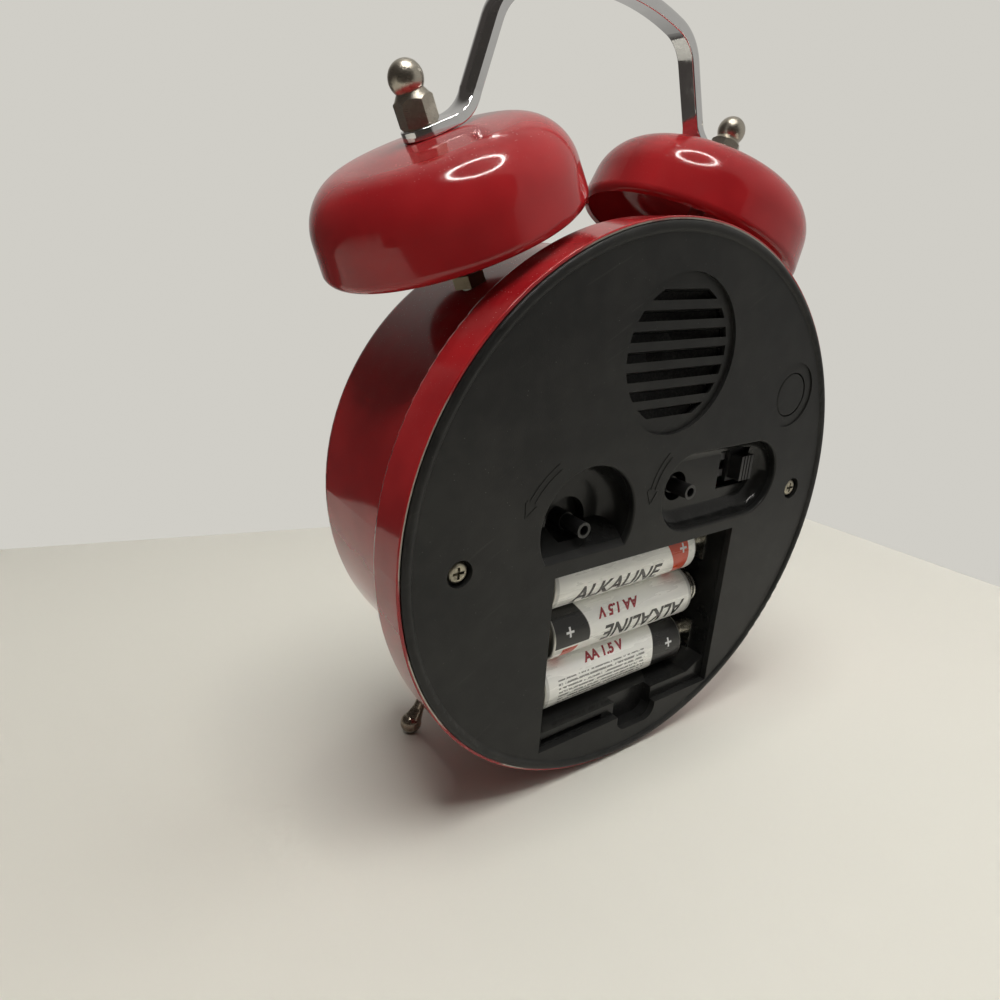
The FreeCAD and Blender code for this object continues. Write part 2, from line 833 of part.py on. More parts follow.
def rearCover():
    disc = turned("cover_disc", [
        (0, 0),
        (coverRadius - size.beadWidth, 0),
        (coverRadius, 0, size.beadRadius, -1),
        (coverRadius - size.flangeTaper, -seatDepth),
        (coverRadius - size.skirtWall, -seatDepth),
        (coverRadius - size.skirtWall, -size.coverPlate),
        (0, -size.coverPlate),
    ])
    wall = size.bayWall
    cellTop = size.topCellHeight
    bayLow = size.topCellHeight - 2 * size.cellPitch - size.cellRadius - size.cellGap
    spaceRadius = size.cellRadius + size.cellGap
    tray = common("tray_outside", [
        fused("tray_blocks", [
            slab("tray_block", size.bayWest - wall, size.bayEast + wall, size.coverPlate,
                 bayFloor + wall, bayLow - wall, cellTop),
            slab("tray_head", size.bayWest - wall, size.bayEast + wall, size.coverPlate, size.cellDepth,
                 cellTop - 1, size.bayOpenTop + wall),
            bar("tray_roof", size.bayWest - wall, size.cellDepth, cellTop,
                size.bayEast - size.bayWest + 2 * wall, spaceRadius + wall),
            slab("door_ledge", size.doorWest - wall, size.doorEast + wall, size.coverPlate / 2,
                 size.notchDepth + wall, size.doorLow - wall, cellTop),
        ]),
        bayReachRod("tray_limit", trayReach),
    ])
    ledge = common("ledge_outside", [
        slab("ledge_block", size.doorWest - wall, size.doorEast + wall, size.coverPlate / 2,
             size.doorDepth + wall, size.doorLow - wall, size.bayOpenTop + wall),
        rod("ledge_limit", 0, 0, 0, size.cellDepth, coverRadius - size.skirtWall / 2),
    ])
    notchBack = common("notch_outside", [
        slab("notch_block", size.notchWest - wall, size.notchEast + wall, size.coverPlate / 2,
             size.notchDepth + wall, size.notchLow - wall, bayLow),
        rod("notch_limit", 0, 0, 0, size.cellDepth, coverRadius - size.skirtWall / 2),
    ])
    bosses = []
    for side, x in screwSides.items():
        bosses.append(rod(f"screw_boss_{side}", x, size.screwHeight, size.coverPlate / 2, bossFront,
                          size.bossRadius))
    for i, (x, z, start) in enumerate(standoffs):
        bosses.append(rod(f"standoff_{i + 1}", x, z, start - 1, size.boardDepth, size.standoffRadius))
    guide = rod("button_guide", size.buttonSide, size.buttonHeight, size.coverPlate / 2,
                size.coverPlate + 1, size.dishRadius)
    seat = size.speakerRadius + size.holeGap
    ring = cut("speaker_wall",
               rod("speaker_wall_out", size.grilleSide, size.grilleHeight, size.coverPlate / 2,
                   size.coverPlate + size.speakerWallTall, seat + size.speakerWall),
               rod("speaker_wall_in", size.grilleSide, size.grilleHeight, size.coverPlate,
                   size.coverPlate + 2 * size.speakerWallTall, seat))
    pits = []
    for name, (x, z, floor, radius) in stemPlaces.items():
        pits.append(rod(f"{name}_pit_wall", x, z, floor / 2, size.pitDepth + size.wellWall,
                        radius + size.wellWall))
    wells = [timeWell("time_outer", size.wellWall, size.coverPlate / 2),
             alarmWell("alarm_outer", size.wellWall, size.coverPlate / 2)]
    solid = fused("cover_solid", [disc, tray, ledge, notchBack, guide, ring] + wells + bosses + pits)

    bay = common("bay_space", [
        fused("bay_blocks", [
            slab("bay_block", size.bayWest, size.bayEast, size.doorDepth / 2, bayFloor, bayLow, cellTop),
            slab("bay_mouth", size.bayWest, size.bayEast, size.doorDepth / 2, size.cellDepth, cellTop - 1,
                 size.bayOpenTop),
            bar("bay_roof", size.bayWest, size.cellDepth, cellTop, size.bayEast - size.bayWest, spaceRadius),
        ]),
        bayReachRod("bay_limit", bayReach),
    ])
    door = slab("door_recess", size.doorWest, size.doorEast, -size.beadWidth, size.doorDepth, size.doorLow,
                size.bayOpenTop)
    notchRadius = (size.notchEast - size.notchWest) / 4
    notch = padded("notch_space", [
        (size.notchWest, size.doorLow + 2 * notchRadius),
        (size.notchWest, size.notchLow + notchRadius),
        (size.notchWest + notchRadius, size.notchLow, notchRadius, 1),
        (size.notchEast - notchRadius, size.notchLow),
        (size.notchEast, size.notchLow + notchRadius, notchRadius, 1),
        (size.notchEast, size.doorLow + 2 * notchRadius),
    ], -size.doorDepth, size.notchDepth)
    hinge = slab("hinge_slot", size.hingeSlotWest, size.hingeSlotEast, 0, size.hingeSlotDepth,
                 size.doorLow, size.doorLow + size.hingeSlotTall)
    hollows = [bay, door, notch, hinge, timeWell("time_inner", 0 * size.wellWall, -size.wellWall),
               alarmWell("alarm_inner", 0 * size.wellWall, -size.wellWall)]
    for name, (x, z, floor, radius) in stemPlaces.items():
        hollows.append(rod(f"{name}_pit", x, z, floor / 2, size.pitDepth, radius))
    hollowed = cut("cover_hollowed", solid, fused("cover_hollows", hollows))
    holes = grilleTools()
    holes.append(rod("button_dish", size.buttonSide, size.buttonHeight, -size.dishDepth, size.dishDepth,
                     size.dishRadius))
    holes.append(rod("button_hole", size.buttonSide, size.buttonHeight, -1 * size.coverPlate,
                     2 * size.coverPlate, size.buttonRadius + size.buttonGap))
    holes.append(slab("lever_slot",
                      size.leverSide - size.leverWide / 2 - size.leverGap,
                      size.leverSide + size.leverWide / 2 + size.leverTravel + size.leverGap,
                      size.alarmWellDepth / 2, alarmOuter + 1,
                      size.leverHeight - size.leverTall / 2 - size.leverSlotSpare,
                      size.leverHeight + size.leverTall / 2 + size.leverSlotSpare))
    for name, (x, z, floor, radius) in stemPlaces.items():
        holes.append(rod(f"{name}_stem_hole", x, z, floor, size.boardDepth, size.stemShaft + size.stemGap))
    for side, x in screwSides.items():
        holes.append(rod(f"screw_sink_{side}", x, size.screwHeight, -size.beadWidth, size.sinkDepth,
                         size.sinkRadius))
        holes.append(rod(f"screw_hole_{side}", x, size.screwHeight, size.sinkDepth - 1, bossFront + 1,
                         size.screwRadius + size.holeGap))
    for i, (x, z, start) in enumerate(standoffs):
        holes.append(rod(f"standoff_hole_{i + 1}", x, z, size.boardDepth - size.boardScrewDeep,
                         size.boardDepth + 1, size.boardScrewRadius))
    drilled = cut("cover_drilled", hollowed, fused("cover_holes", holes))
    wellMiddle = size.alarmHeight.value

    def softened(edge):
        # The mouths of the two wells, on the outer face.
        box = edge.BoundBox
        low = size.timeWellFlat.value - 2
        high = size.grilleHeight.value - size.grilleRadius.value
        inBand = box.ZMin > low and box.ZMax < high
        nearWells = abs(box.Center.z - wellMiddle) < size.timeWellRadius.value and box.DiagonalLength > 15
        return liesAt(edge, 0) and inBand and nearWells and abs(box.Center.x) < size.screwEast.value - 5
    keep(rounded("rear_cover", drilled, size.mouthRound, softened), "rear_cover")


# Bells, studs, nuts and finials

def bellProfile():
    # Crown, shoulder, skirt and curled lip run into one another tangentially. Angles are measured from
    # level, heights from the ball's centre, downwards negative.
    crownTurn = arcSine(size.crownReach / size.crownRadius)
    crownDrop = size.crownRadius * (1 - cosine(crownTurn))
    shoulderX = size.crownReach - size.shoulderRadius * sine(crownTurn)
    shoulderZ = -(bellTop + crownDrop) - size.shoulderRadius * cosine(crownTurn)
    skirtX = shoulderX + size.shoulderRadius * sine(size.shoulderEnd)
    skirtZ = shoulderZ + size.shoulderRadius * cosine(size.shoulderEnd)
    lipX = skirtX + size.bellSkirt * cosine(size.shoulderEnd)
    lipZ = skirtZ - size.bellSkirt * sine(size.shoulderEnd)
    curlX = lipX - size.lipRadius * sine(size.shoulderEnd)
    curlZ = lipZ - size.lipRadius * cosine(size.shoulderEnd)
    wall = size.bellWall
    hole = size.studRadius + size.holeGap

    def onShoulder(angle, inset):
        radius = size.shoulderRadius - inset
        return shoulderX + radius * sine(angle), shoulderZ + radius * cosine(angle)

    def onCurl(angle, inset):
        radius = size.lipRadius - inset
        return curlX + radius * sine(angle), curlZ + radius * cosine(angle)

    def onCrown(inset):
        # Height of the crown above the hole's edge.
        radius = size.crownRadius - inset
        return -bellTop - size.crownRadius + root(radius * radius - hole * hole)

    none = 0 * wall
    return [
        (hole, onCrown(none)),
        (*onShoulder(crownTurn, none), size.crownRadius, -1),
        (*onShoulder(size.shoulderEnd, none), size.shoulderRadius, -1),
        onCurl(size.shoulderEnd, none),
        (*onCurl(size.lipEnd, none), size.lipRadius, -1),
        onCurl(size.lipEnd, wall),
        (*onCurl(size.shoulderEnd, wall), size.lipRadius - wall, 1),
        onShoulder(size.shoulderEnd, wall),
        (*onShoulder(crownTurn, wall), size.shoulderRadius - wall, 1),
        (hole, onCrown(wall), size.crownRadius - wall, 1),
    ]


def bells():
    for side in sides:
        body = turned(f"bell_{side}", bellProfile(), "XZ_Plane")
        keep(placed(body, studPlace(side)), f"bell_{side}")


def ballNuts():
    # A hexagon, a neck and a ball turned in one piece, with a blind thread from below.
    made = []
    for side in sides:
        ball = document.addObject("Part::Sphere", f"ball_{side}")
        bind(ball, "Radius", size.ballRadius)
        neck = document.addObject("Part::Cone", f"neck_{side}")
        bind(neck, "Radius1", size.hexAcross / 2)
        bind(neck, "Radius2", size.neckRadius)
        bind(neck, "Height", size.hexTop - size.ballRadius / 2)
        putAt(neck, 0, 0, -size.hexTop)
        prism = hexagon(f"hex_{side}", -hexBottom, -size.hexTop, size.hexAcross,
                        sides[side] * size.hexTurn.value)
        bevels = []
        flat = 0 * size.hexTall
        for name, wide, narrow in (("upper", size.hexTall, flat), ("lower", flat, size.hexTall)):
            bevel = document.addObject("Part::Cone", f"hex_{name}_bevel_{side}")
            bind(bevel, "Radius1", size.hexAcross / 2 + wide)
            bind(bevel, "Radius2", size.hexAcross / 2 + narrow)
            bind(bevel, "Height", size.hexTall)
            bevels.append(putAt(bevel, 0, 0, -hexBottom))
        bevelled = common(f"hex_bevelled_{side}", [prism] + bevels)
        thread = pole(f"hex_thread_{side}", -hexBottom - 1, -hexBottom + size.studInHex, size.studRadius)
        solid = fused(f"ball_solid_{side}", [ball, neck, bevelled])
        made.append(placed(cut(f"ball_nut_{side}", solid, thread), studPlace(side)))
    group("ball_nuts", made)


def crossing(radius, aside):
    # Distance from the ball's centre, along the stud, to a circle about the case axis.
    return bellAlong - root(radius * radius - aside * aside)


def studNutTops():
    # Top of each nut on a stud: under the bell's crown, on the drum, and inside the drum.
    lowest = crossing(drumOutside(size.bellDepth), bellAcross - nutCorner) - size.seatGap
    inside = crossing(drumInside(size.bellDepth), bellAcross + nutCorner) + size.seatGap
    return {"bell": bellTop + size.bellWall + size.seatGap, "drum": lowest - size.nutThick, "inner": inside}


def studsAndNuts():
    nuts = []
    studs = []
    tops = studNutTops()
    tail = tops["inner"] + size.nutThick + size.studTail
    for side in sides:
        for name, top in tops.items():
            prism = hexagon(f"nut_{name}_{side}", -top - size.nutThick, -top, size.nutAcross)
            thread = pole(f"nut_thread_{name}_{side}", -top - 2 * size.nutThick, -top + 1, size.studRadius)
            nuts.append(placed(cut(f"stud_nut_{name}_{side}", prism, thread), studPlace(side)))
        studs.append(placed(pole(f"stud_{side}", -tail, -hexBottom + size.studInHex, size.studRadius),
                            studPlace(side)))
    group("bell_studs", studs)
    group("stud_nuts", nuts)


# Handle

def handle():
    # A bar with a domed outside and flat sides, swept along tangent lines and arcs and flattened over its
    # lower bends into an eye at each end.
    tilt = math.radians(size.bellTilt.value)
    wide, thick = size.barWide.value, size.barThick.value
    flatWide, flatThick = size.strapWide.value, size.strapThick.value
    eyeMiddle = hexBottom.value + flatThick / 2
    barMiddle = bellTop.value - thick / 2

    def onStud(drop):
        return FreeCAD.Vector(size.ballSide.value - drop * math.sin(tilt), 0,
                              size.ballHeight.value - drop * math.cos(tilt))

    def barSection(middle, along, across, through, share):
        # A section square to the path, its long side along Y. At share 1 it has the bar's dome, at 0 it is
        # the flat strap.
        dome = (thick - size.barSide.value) * share
        low, high, half = -through / 2, through / 2 - dome, across / 2
        corners = [FreeCAD.Vector(*point) for point in ((-half, high), (-half, low), (half, low), (half, high))]
        crest = FreeCAD.Vector(0, high + dome, 0)
        top = Part.Arc(corners[3], crest, corners[0]).toShape() if dome else Part.makeLine(corners[3], corners[0])
        outline = Part.Wire([Part.makeLine(a, b) for a, b in zip(corners, corners[1:])] + [top])
        block = Part.Face(outline).extrude(zAxis)
        upright = [edge for edge in block.Edges if abs(edge.Vertexes[0].Z - edge.Vertexes[1].Z) > 0.5]
        soft = size.barRound.value
        face = next(face for face in block.makeFillet(soft, upright).Faces if face.BoundBox.ZMax < 1e-6)
        normal = yAxis.cross(along)
        side = normal.cross(along)
        matrix = FreeCAD.Matrix(side.x, normal.x, along.x, middle.x, side.y, normal.y, along.y, middle.y,
                                side.z, normal.z, along.z, middle.z, 0, 0, 0, 1)
        section = face.OuterWire
        section.Placement = FreeCAD.Placement(matrix).multiply(section.Placement)
        return section

    # The path: out of the eye along the bell's crown, up the leg, round the corner and over the crown.
    eye = onStud(barMiddle)
    inward = FreeCAD.Vector(-math.cos(tilt), 0, math.sin(tilt))
    slope = math.radians(size.legSlope.value)
    up = FreeCAD.Vector(-math.sin(slope), 0, math.cos(slope))
    leg = FreeCAD.Vector(size.legSide.value, 0, size.legHeight.value)
    crossed = inward.x * up.z - inward.z * up.x
    along = ((leg.x - eye.x) * up.z - (leg.z - eye.z) * up.x) / crossed
    knee = eye + inward * along
    bend = size.handleBend.value
    bendTurn = inward.getAngle(up)
    inset = bend * math.tan(bendTurn / 2)
    bendIn = knee - inward * inset
    bendOut = knee + up * inset
    bendMiddle = bendIn + yAxis.cross(inward) * bend
    # The corner arc touches the leg from inside and the crown's circle from within.
    crown = size.handleCrown.value
    corner = size.handleCorner.value
    crownMiddle = FreeCAD.Vector(0, 0, size.handleTop.value - crown)
    inner = FreeCAD.Vector(-up.z, 0, up.x)
    base = leg + inner * corner - crownMiddle
    dot = base.dot(up)
    climb = -dot + math.sqrt(dot * dot - base.dot(base) + (crown - corner) ** 2)
    cornerMiddle = leg + inner * corner + up * climb
    cornerIn = cornerMiddle - inner * corner
    outward = (cornerMiddle - crownMiddle).normalize()
    cornerOut = cornerMiddle + outward * corner
    cornerHalf = (outward - inner).normalize()

    def mirrored(point):
        return FreeCAD.Vector(-point.x, point.y, point.z)

    path = Part.Wire([piece.toShape() for piece in (
        Part.LineSegment(bendOut, cornerIn),
        Part.Arc(cornerIn, cornerMiddle + cornerHalf * corner, cornerOut),
        Part.Arc(cornerOut, crownMiddle + zAxis * crown, mirrored(cornerOut)),
        Part.Arc(mirrored(cornerOut), mirrored(cornerMiddle + cornerHalf * corner), mirrored(cornerIn)),
        Part.LineSegment(mirrored(cornerIn), mirrored(bendOut)),
    )])
    sweep = Part.BRepOffsetAPI.MakePipeShell(path)
    sweep.setBiNormalMode(yAxis)
    sweep.add(barSection(bendOut, up, wide, thick, 1))
    sweep.build()
    sweep.makeSolid()

    # The bar widens and thins along the bend, its underside on the path's.
    sections = []
    steps = int(size.bendSteps.value)
    for i in range(steps + 1):
        share = i / steps
        turn = FreeCAD.Rotation(yAxis, math.degrees(bendTurn) * share)
        direction = turn.multVec(inward)
        normal = yAxis.cross(direction)
        through = flatThick + (thick - flatThick) * share
        middle = bendMiddle - normal * (bend + (thick - through) / 2)
        across = flatWide + (wide - flatWide) * share
        sections.append(barSection(middle, direction, across, through, share))
    flare = Part.makeLoft(sections, True, False)
    strip = Part.Face(barSection(onStud(eyeMiddle), inward, flatWide, flatThick, 0))
    strip = strip.extrude(inward * (bendIn - eye).Length)
    disc = Part.makeCylinder(flatWide / 2, flatThick, FreeCAD.Vector(0, 0, -flatThick / 2))
    rims = [edge for edge in disc.Edges if len(edge.Vertexes) == 1]
    disc = disc.makeFillet(size.barRound.value, rims)
    disc = disc.cut(Part.makeBox(flatWide, 2 * flatWide, 2 * flatThick,
                                 FreeCAD.Vector(-flatWide, -flatWide, -flatThick)))
    hole = Part.makeCylinder(size.studRadius.value + size.holeGap.value, 2 * flatThick,
                             FreeCAD.Vector(0, 0, -flatThick))
    for piece in (disc, hole):
        piece.Placement = FreeCAD.Placement(onStud(eyeMiddle), FreeCAD.Rotation(yAxis, size.bellTilt.value))
    end = disc.fuse([strip, flare]).cut(hole)
    whole = sweep.shape().fuse([end, end.mirror(FreeCAD.Vector(), xAxis)]).removeSplitter()
    item = document.addObject("Part::Feature", "handle")
    item.Shape = whole
    item.Placement = FreeCAD.Placement(FreeCAD.Vector(0, -size.bellDepth.value, 0), FreeCAD.Rotation())
    keep(item, "handle")


# Feet

def frontFeet():
    # The stem's length puts each ball on the table that the flange's rear edge stands on.
    lean = size.leanAngle
    edgeRadius = size.flangeRadius - size.rimRound
    floor = edgeRadius * cosine(lean) - (size.rimDepth + size.rimRound) * sine(lean) + size.rimRound
    ballOut = (floor + footDepth * sine(lean) - size.footBall) / (cosine(size.footAngle) * cosine(lean))
    wallOut = drumOutside(footDepth) + size.seatGap
    wallIn = drumInside(footDepth)
    nutHigh = root(wallIn * wallIn - nutCorner * nutCorner) - size.seatGap
    feet = []
    nuts = []
    for side in sides:
        ball = document.addObject("Part::Sphere", f"foot_ball_{side}")
        bind(ball, "Radius", size.footBall)
        putAt(ball, 0, 0, ballOut)
        stem = pole(f"foot_stem_{side}", nutHigh - size.nutThick, ballOut, size.footStem)
        collar = document.addObject("Part::Cone", f"foot_collar_{side}")
        bind(collar, "Radius1", size.footCollar)
        bind(collar, "Radius2", size.footStem)
        bind(collar, "Height", size.footCollarTall)
        putAt(collar, 0, 0, wallOut)
        neck = document.addObject("Part::Cone", f"foot_neck_{side}")
        bind(neck, "Radius1", size.footStem)
        bind(neck, "Radius2", size.footBall * size.footNeckShare)
        bind(neck, "Height", size.footBall)
        putAt(neck, 0, 0, ballOut - 1.6 * size.footBall)
        feet.append(placed(fused(f"foot_{side}", [ball, stem, collar, neck]), footPlace(side)))
        prism = hexagon(f"foot_nut_prism_{side}", nutHigh - size.nutThick, nutHigh, size.nutAcross)
        thread = pole(f"foot_nut_thread_{side}", nutHigh - 2 * size.nutThick, nutHigh + 1, size.footStem)
        nuts.append(placed(cut(f"foot_nut_{side}", prism, thread), footPlace(side)))
    group("front_feet", feet)
    group("foot_nuts", nuts)


# Speaker

def speaker():
    face = size.coverPlate
    rimRear = face + size.speakerRimThick
    rimInner = size.speakerRadius - size.speakerRim
    backPlate = face + size.speakerDepth - size.magnetTall

    def onAxis(name, corners):
        body = turned(name, corners)
        place = FreeCAD.Vector(size.grilleSide.value, 0, size.grilleHeight.value)
        body.Placement = FreeCAD.Placement(place, FreeCAD.Rotation())
        return keep(body, name)

    onAxis("speaker_frame", [
        (rimInner, -face),
        (size.speakerRadius, -face),
        (size.speakerRadius, -rimRear),
        (rimInner + size.basketWall, -rimRear),
        (size.basketRadius + size.basketWall, -backPlate),
        (size.dustCapRadius, -backPlate),
        (size.dustCapRadius, -backPlate + size.basketWall),
        (size.basketRadius, -backPlate + size.basketWall),
        (rimInner, -rimRear),
    ])
    thick = size.coneThick
    coneRim = face + size.speakerRimThick / 2
    onAxis("speaker_cone", [
        (0, -coneRim - size.coneDepth + size.coneThick * 3),
        (size.dustCapRadius, -coneRim - size.coneDepth),
        (rimInner, -coneRim),
        (rimInner, -coneRim - thick),
        (size.dustCapRadius, -coneRim - size.coneDepth - thick),
        (size.dustCapRadius, -backPlate + size.basketWall),
        (size.dustCapRadius - thick, -backPlate + size.basketWall),
        (size.dustCapRadius - thick, -coneRim - size.coneDepth - thick),
        (0, -coneRim - size.coneDepth + size.coneThick * 2),
    ])
    onAxis("speaker_magnet", [
        (0, -backPlate),
        (size.magnetRadius, -backPlate),
        (size.magnetRadius, -backPlate - size.magnetTall),
        (0, -backPlate - size.magnetTall),
    ])


# Circuit board with its switches

def circuitBoard():
    front = size.boardDepth + size.boardThick
    plate = common("board_plate", [
        slab("board_block", -1 * size.boardRadius, size.boardEast, size.boardDepth, front, size.boardLow,
             size.boardHigh),
        rod("board_limit", 0, 0, size.boardDepth - 1, front + 1, size.boardRadius),
    ])
    holes = []
    screws = []
    for i, (x, z, start) in enumerate(standoffs):
        holes.append(rod(f"board_hole_{i + 1}", x, z, size.boardDepth - 1, front + 1,
                         size.boardScrewRadius + size.holeGap))
        head = rod(f"board_screw_head_{i + 1}", x, z, front, front + size.boardScrewRadius,
                   size.boardScrewHead)
        shank = rod(f"board_screw_shank_{i + 1}", x, z, size.boardDepth - size.boardScrewDeep, front,
                    size.boardScrewRadius)
        screws.append(fused(f"board_screw_{i + 1}", [head, shank]))
    keep(cut("circuit_board", plate, fused("board_holes", holes)), "circuit_board")
    group("board_screws", screws)
    chipWest = size.boardEast - size.chipInset
    chipLow = size.boardHigh - size.chipDrop
    crystalLow = size.boardHigh - size.crystalDrop
    chip = slab("sound_chip", chipWest, chipWest + size.chipLength, front, front + size.chipThick, chipLow,
                chipLow + size.chipTall)
    canSide = chipWest + size.chipLength + size.capacitorRadius
    can = rod("capacitor", canSide, chipLow + size.chipTall / 2, front, movementRear - size.capacitorGap,
              size.capacitorRadius)
    crystal = slab("crystal", chipWest, chipWest + size.crystalLength, front, front + size.chipThick,
                   crystalLow, crystalLow + size.crystalTall)
    group("board_components", [chip, can, crystal])


def slideSwitch():
    half = size.leverWide / 2
    tall = size.leverTall / 2
    west = size.leverSide - half
    east = size.leverSide + half
    low = size.leverHeight - tall
    high = size.leverHeight + tall
    footRear = alarmOuter + size.leverGap
    footFront = footRear + size.leverFoot
    bodyRear = footFront + size.leverGap
    pin = size.leverPin / 2
    finger = slab("lever_finger", west, east, size.leverTop, footFront, low, high)
    lip = size.leverLip
    foot = slab("lever_foot", west - lip, east + lip, footRear, footFront, low - lip, high + lip)
    drive = slab("lever_drive", size.leverSide - pin, size.leverSide + pin, footFront - size.leverFoot / 2,
                 bodyRear + size.leverPin, size.leverHeight - pin, size.leverHeight + pin)
    grooves = []
    count = int(size.ribCount.value)
    pitch = size.leverWide / (count + 1)
    for i in range(count):
        middle = west + (i + 1) * pitch
        grooves.append(slab(f"lever_groove_{i + 1}", middle - size.ribDeep / 2, middle + size.ribDeep / 2,
                            size.leverTop - 1, size.leverTop + size.ribDeep, low - 1, high + 1))
    solid = fused("lever_solid", [finger, foot, drive])
    keep(cut("switch_lever", solid, fused("lever_grooves", grooves)), "switch_lever")
    box = slab("switch_box", west - size.switchSpare, east + size.leverTravel + size.switchSpare, bodyRear,
               size.boardDepth, low, high)
    track = slab("switch_track", size.leverSide - pin - size.leverGap,
                 size.leverSide + pin + size.leverTravel + size.leverGap, bodyRear - 1,
                 bodyRear + size.leverPin + size.leverGap, size.leverHeight - pin - size.leverGap,
                 size.leverHeight + pin + size.leverGap)
    keep(cut("switch_body", box, track), "switch_body")


def pushButton():
    x = size.buttonSide
    z = size.buttonHeight
    flangeRear = size.coverPlate + size.leverGap + 1
    flangeFront = flangeRear + size.buttonFlange
    plungerTop = size.boardDepth - size.tactTall - size.leverGap
    cap = rod("button_cap", x, z, size.dishDepth, flangeRear, size.buttonRadius)
    soft = rounded("button_cap_soft", cap, size.mouthRound,
                   lambda edge: isCircleAt(edge, -size.dishDepth.value))
    flange = rod("button_flange", x, z, flangeRear, flangeFront, size.buttonRadius + size.buttonLip)
    stem = rod("button_stem", x, z, flangeRear, plungerTop - size.buttonTravel - size.leverGap / 3,
               size.buttonStem)
    keep(fused("push_button", [soft, flange, stem]), "push_button")
    half = size.tactWide / 2
    box = slab("tact_box", x - half, x + half, size.boardDepth - size.tactTall, size.boardDepth, z - half,
               z + half)
    plunger = rod("tact_plunger", x, z, plungerTop, size.boardDepth - size.tactTall / 2, size.tactPlunger)
    keep(fused("tact_switch", [box, plunger]), "tact_switch")


# Battery cells and contacts

cellPositive = {"top": -1, "middle": 1, "bottom": -1}


def cellHeight(index):
    return size.topCellHeight - index * size.cellPitch


def batteryCells():
    body = size.cellLength - size.cellNub
    low = -size.cellLength / 2
    high = low + body
    for index, (name, sign) in enumerate(cellPositive.items()):
        cell = turned(f"battery_{name}", [
            (0, low),
            (size.cellRadius - size.cellRound, low),
            (size.cellRadius, low + size.cellRound, size.cellRound, 1),
            (size.cellRadius, high - size.cellRound),
            (size.cellRadius - size.cellRound, high, size.cellRound, 1),
            (size.cellNubRadius, high),
            (size.cellNubRadius, high + size.cellNub),
            (0, high + size.cellNub),
        ], "XZ_Plane")
        spot = FreeCAD.Vector(size.cellMiddle.value, -size.cellDepth.value, cellHeight(index).value)
        cell.Placement = FreeCAD.Placement(spot, FreeCAD.Rotation(yAxis, sign * 90))
        keep(cell, f"battery_{name}")


def batteryContacts():
    # A coil spring behind each negative end, and a plate with a pressed button at each positive end.
    springs = []
    plates = []
    half = size.cellLength / 2
    ends = {-1: (size.bayWest, size.cellMiddle - half), 1: (size.bayEast, size.cellMiddle + half)}
    for index, (name, sign) in enumerate(cellPositive.items()):
        z = cellHeight(index)
        wall, cell = ends[-sign]
        coils = []
        gap = (cell - wall) * -sign * -1
        turns = int(size.springTurns.value)
        pitch = (gap - 2 * size.springWire) / (turns - 1)
        for turn in range(turns):
            coil = document.addObject("Part::Torus", f"spring_{name}_{turn + 1}")
            bind(coil, "Radius1", size.springRadius - turn * size.springStep)
            bind(coil, "Radius2", size.springWire)
            x = wall + sign * (size.springWire + turn * pitch)
            coils.append(putAt(coil, x, -size.cellDepth, z, FreeCAD.Rotation(yAxis, 90)))
        springs.append(fused(f"spring_{name}", coils))
        wall, cell = ends[sign]
        inside = wall - sign * size.plateThick
        west, east = (wall, inside) if sign < 0 else (inside, wall)
        wide = size.plateWide / 2
        sheetPlate = slab(f"plate_sheet_{name}", west, east, size.cellDepth - wide, size.cellDepth + wide,
                          z - wide, z + wide)
        west, east = (wall, cell) if sign < 0 else (cell, wall)
        button = bar(f"plate_button_{name}", west, size.cellDepth, z, east - west, size.plateButton)
        plates.append(common(f"plate_{name}", [
            fused(f"plate_whole_{name}", [sheetPlate, button]),
            bayReachRod(f"plate_limit_{name}", bayReach - size.tubeGap),
        ]))
    group("battery_springs", springs)
    group("battery_plates", plates)


# Dial stack

def dialStack():
    domeReach = size.lensDomeReach * size.lensDomeReach
    domeRadius = (domeReach + size.lensDome * size.lensDome) / (2 * size.lensDome)
    keep(turned("lens", [
        (0, -lensRear - size.lensDome),
        (size.lensDomeReach, -lensRear, domeRadius, 1),
        (size.lensRadius, -lensRear),
        (size.lensRadius, -lensFront),
        (size.lensDomeReach, -lensFront),
        (0, -lensFront - size.lensDome, domeRadius, -1),
    ]), "lens")
    keep(turned("dial_spacer", [
        (size.spacerMouth, -lensRear),
        (size.spacerMouth + size.spacerTaper, -dialFront),
        (size.spacerRadius, -dialFront),
        (size.spacerRadius, -lensRear + size.spacerTaper),
        (size.spacerRadius - size.spacerTaper, -lensRear),
    ]), "dial_spacer")
    disc = rod("dial_disc", 0, 0, dialRear, dialFront, size.dialRadius)
    hole = rod("dial_hole", 0, 0, dialRear - 1, dialFront + 1, size.bushRadius + size.tubeGap)
    keep(cut("dial", disc, hole), "dial")


def dialFrame():
    rear = dialRear - size.frameThick
    ring = cut("frame_ring", rod("frame_out", 0, 0, rear, dialRear, size.frameRadius),
               rod("frame_in", 0, 0, rear - 1, dialRear + 1, size.frameInner))
    pieces = [ring]
    for side, sign in sides.items():
        pieces.append(rod(f"pillar_high_{side}", sign * size.pillarHighSide, size.pillarHigh,
                          size.coverPlate, dialRear, size.pillarRadius))
        pieces.append(rod(f"pillar_low_{side}", sign * size.pillarLowSide, size.pillarLow,
                          size.coverPlate, dialRear, size.pillarRadius))
    keep(fused("dial_frame", pieces), "dial_frame")


# Movement

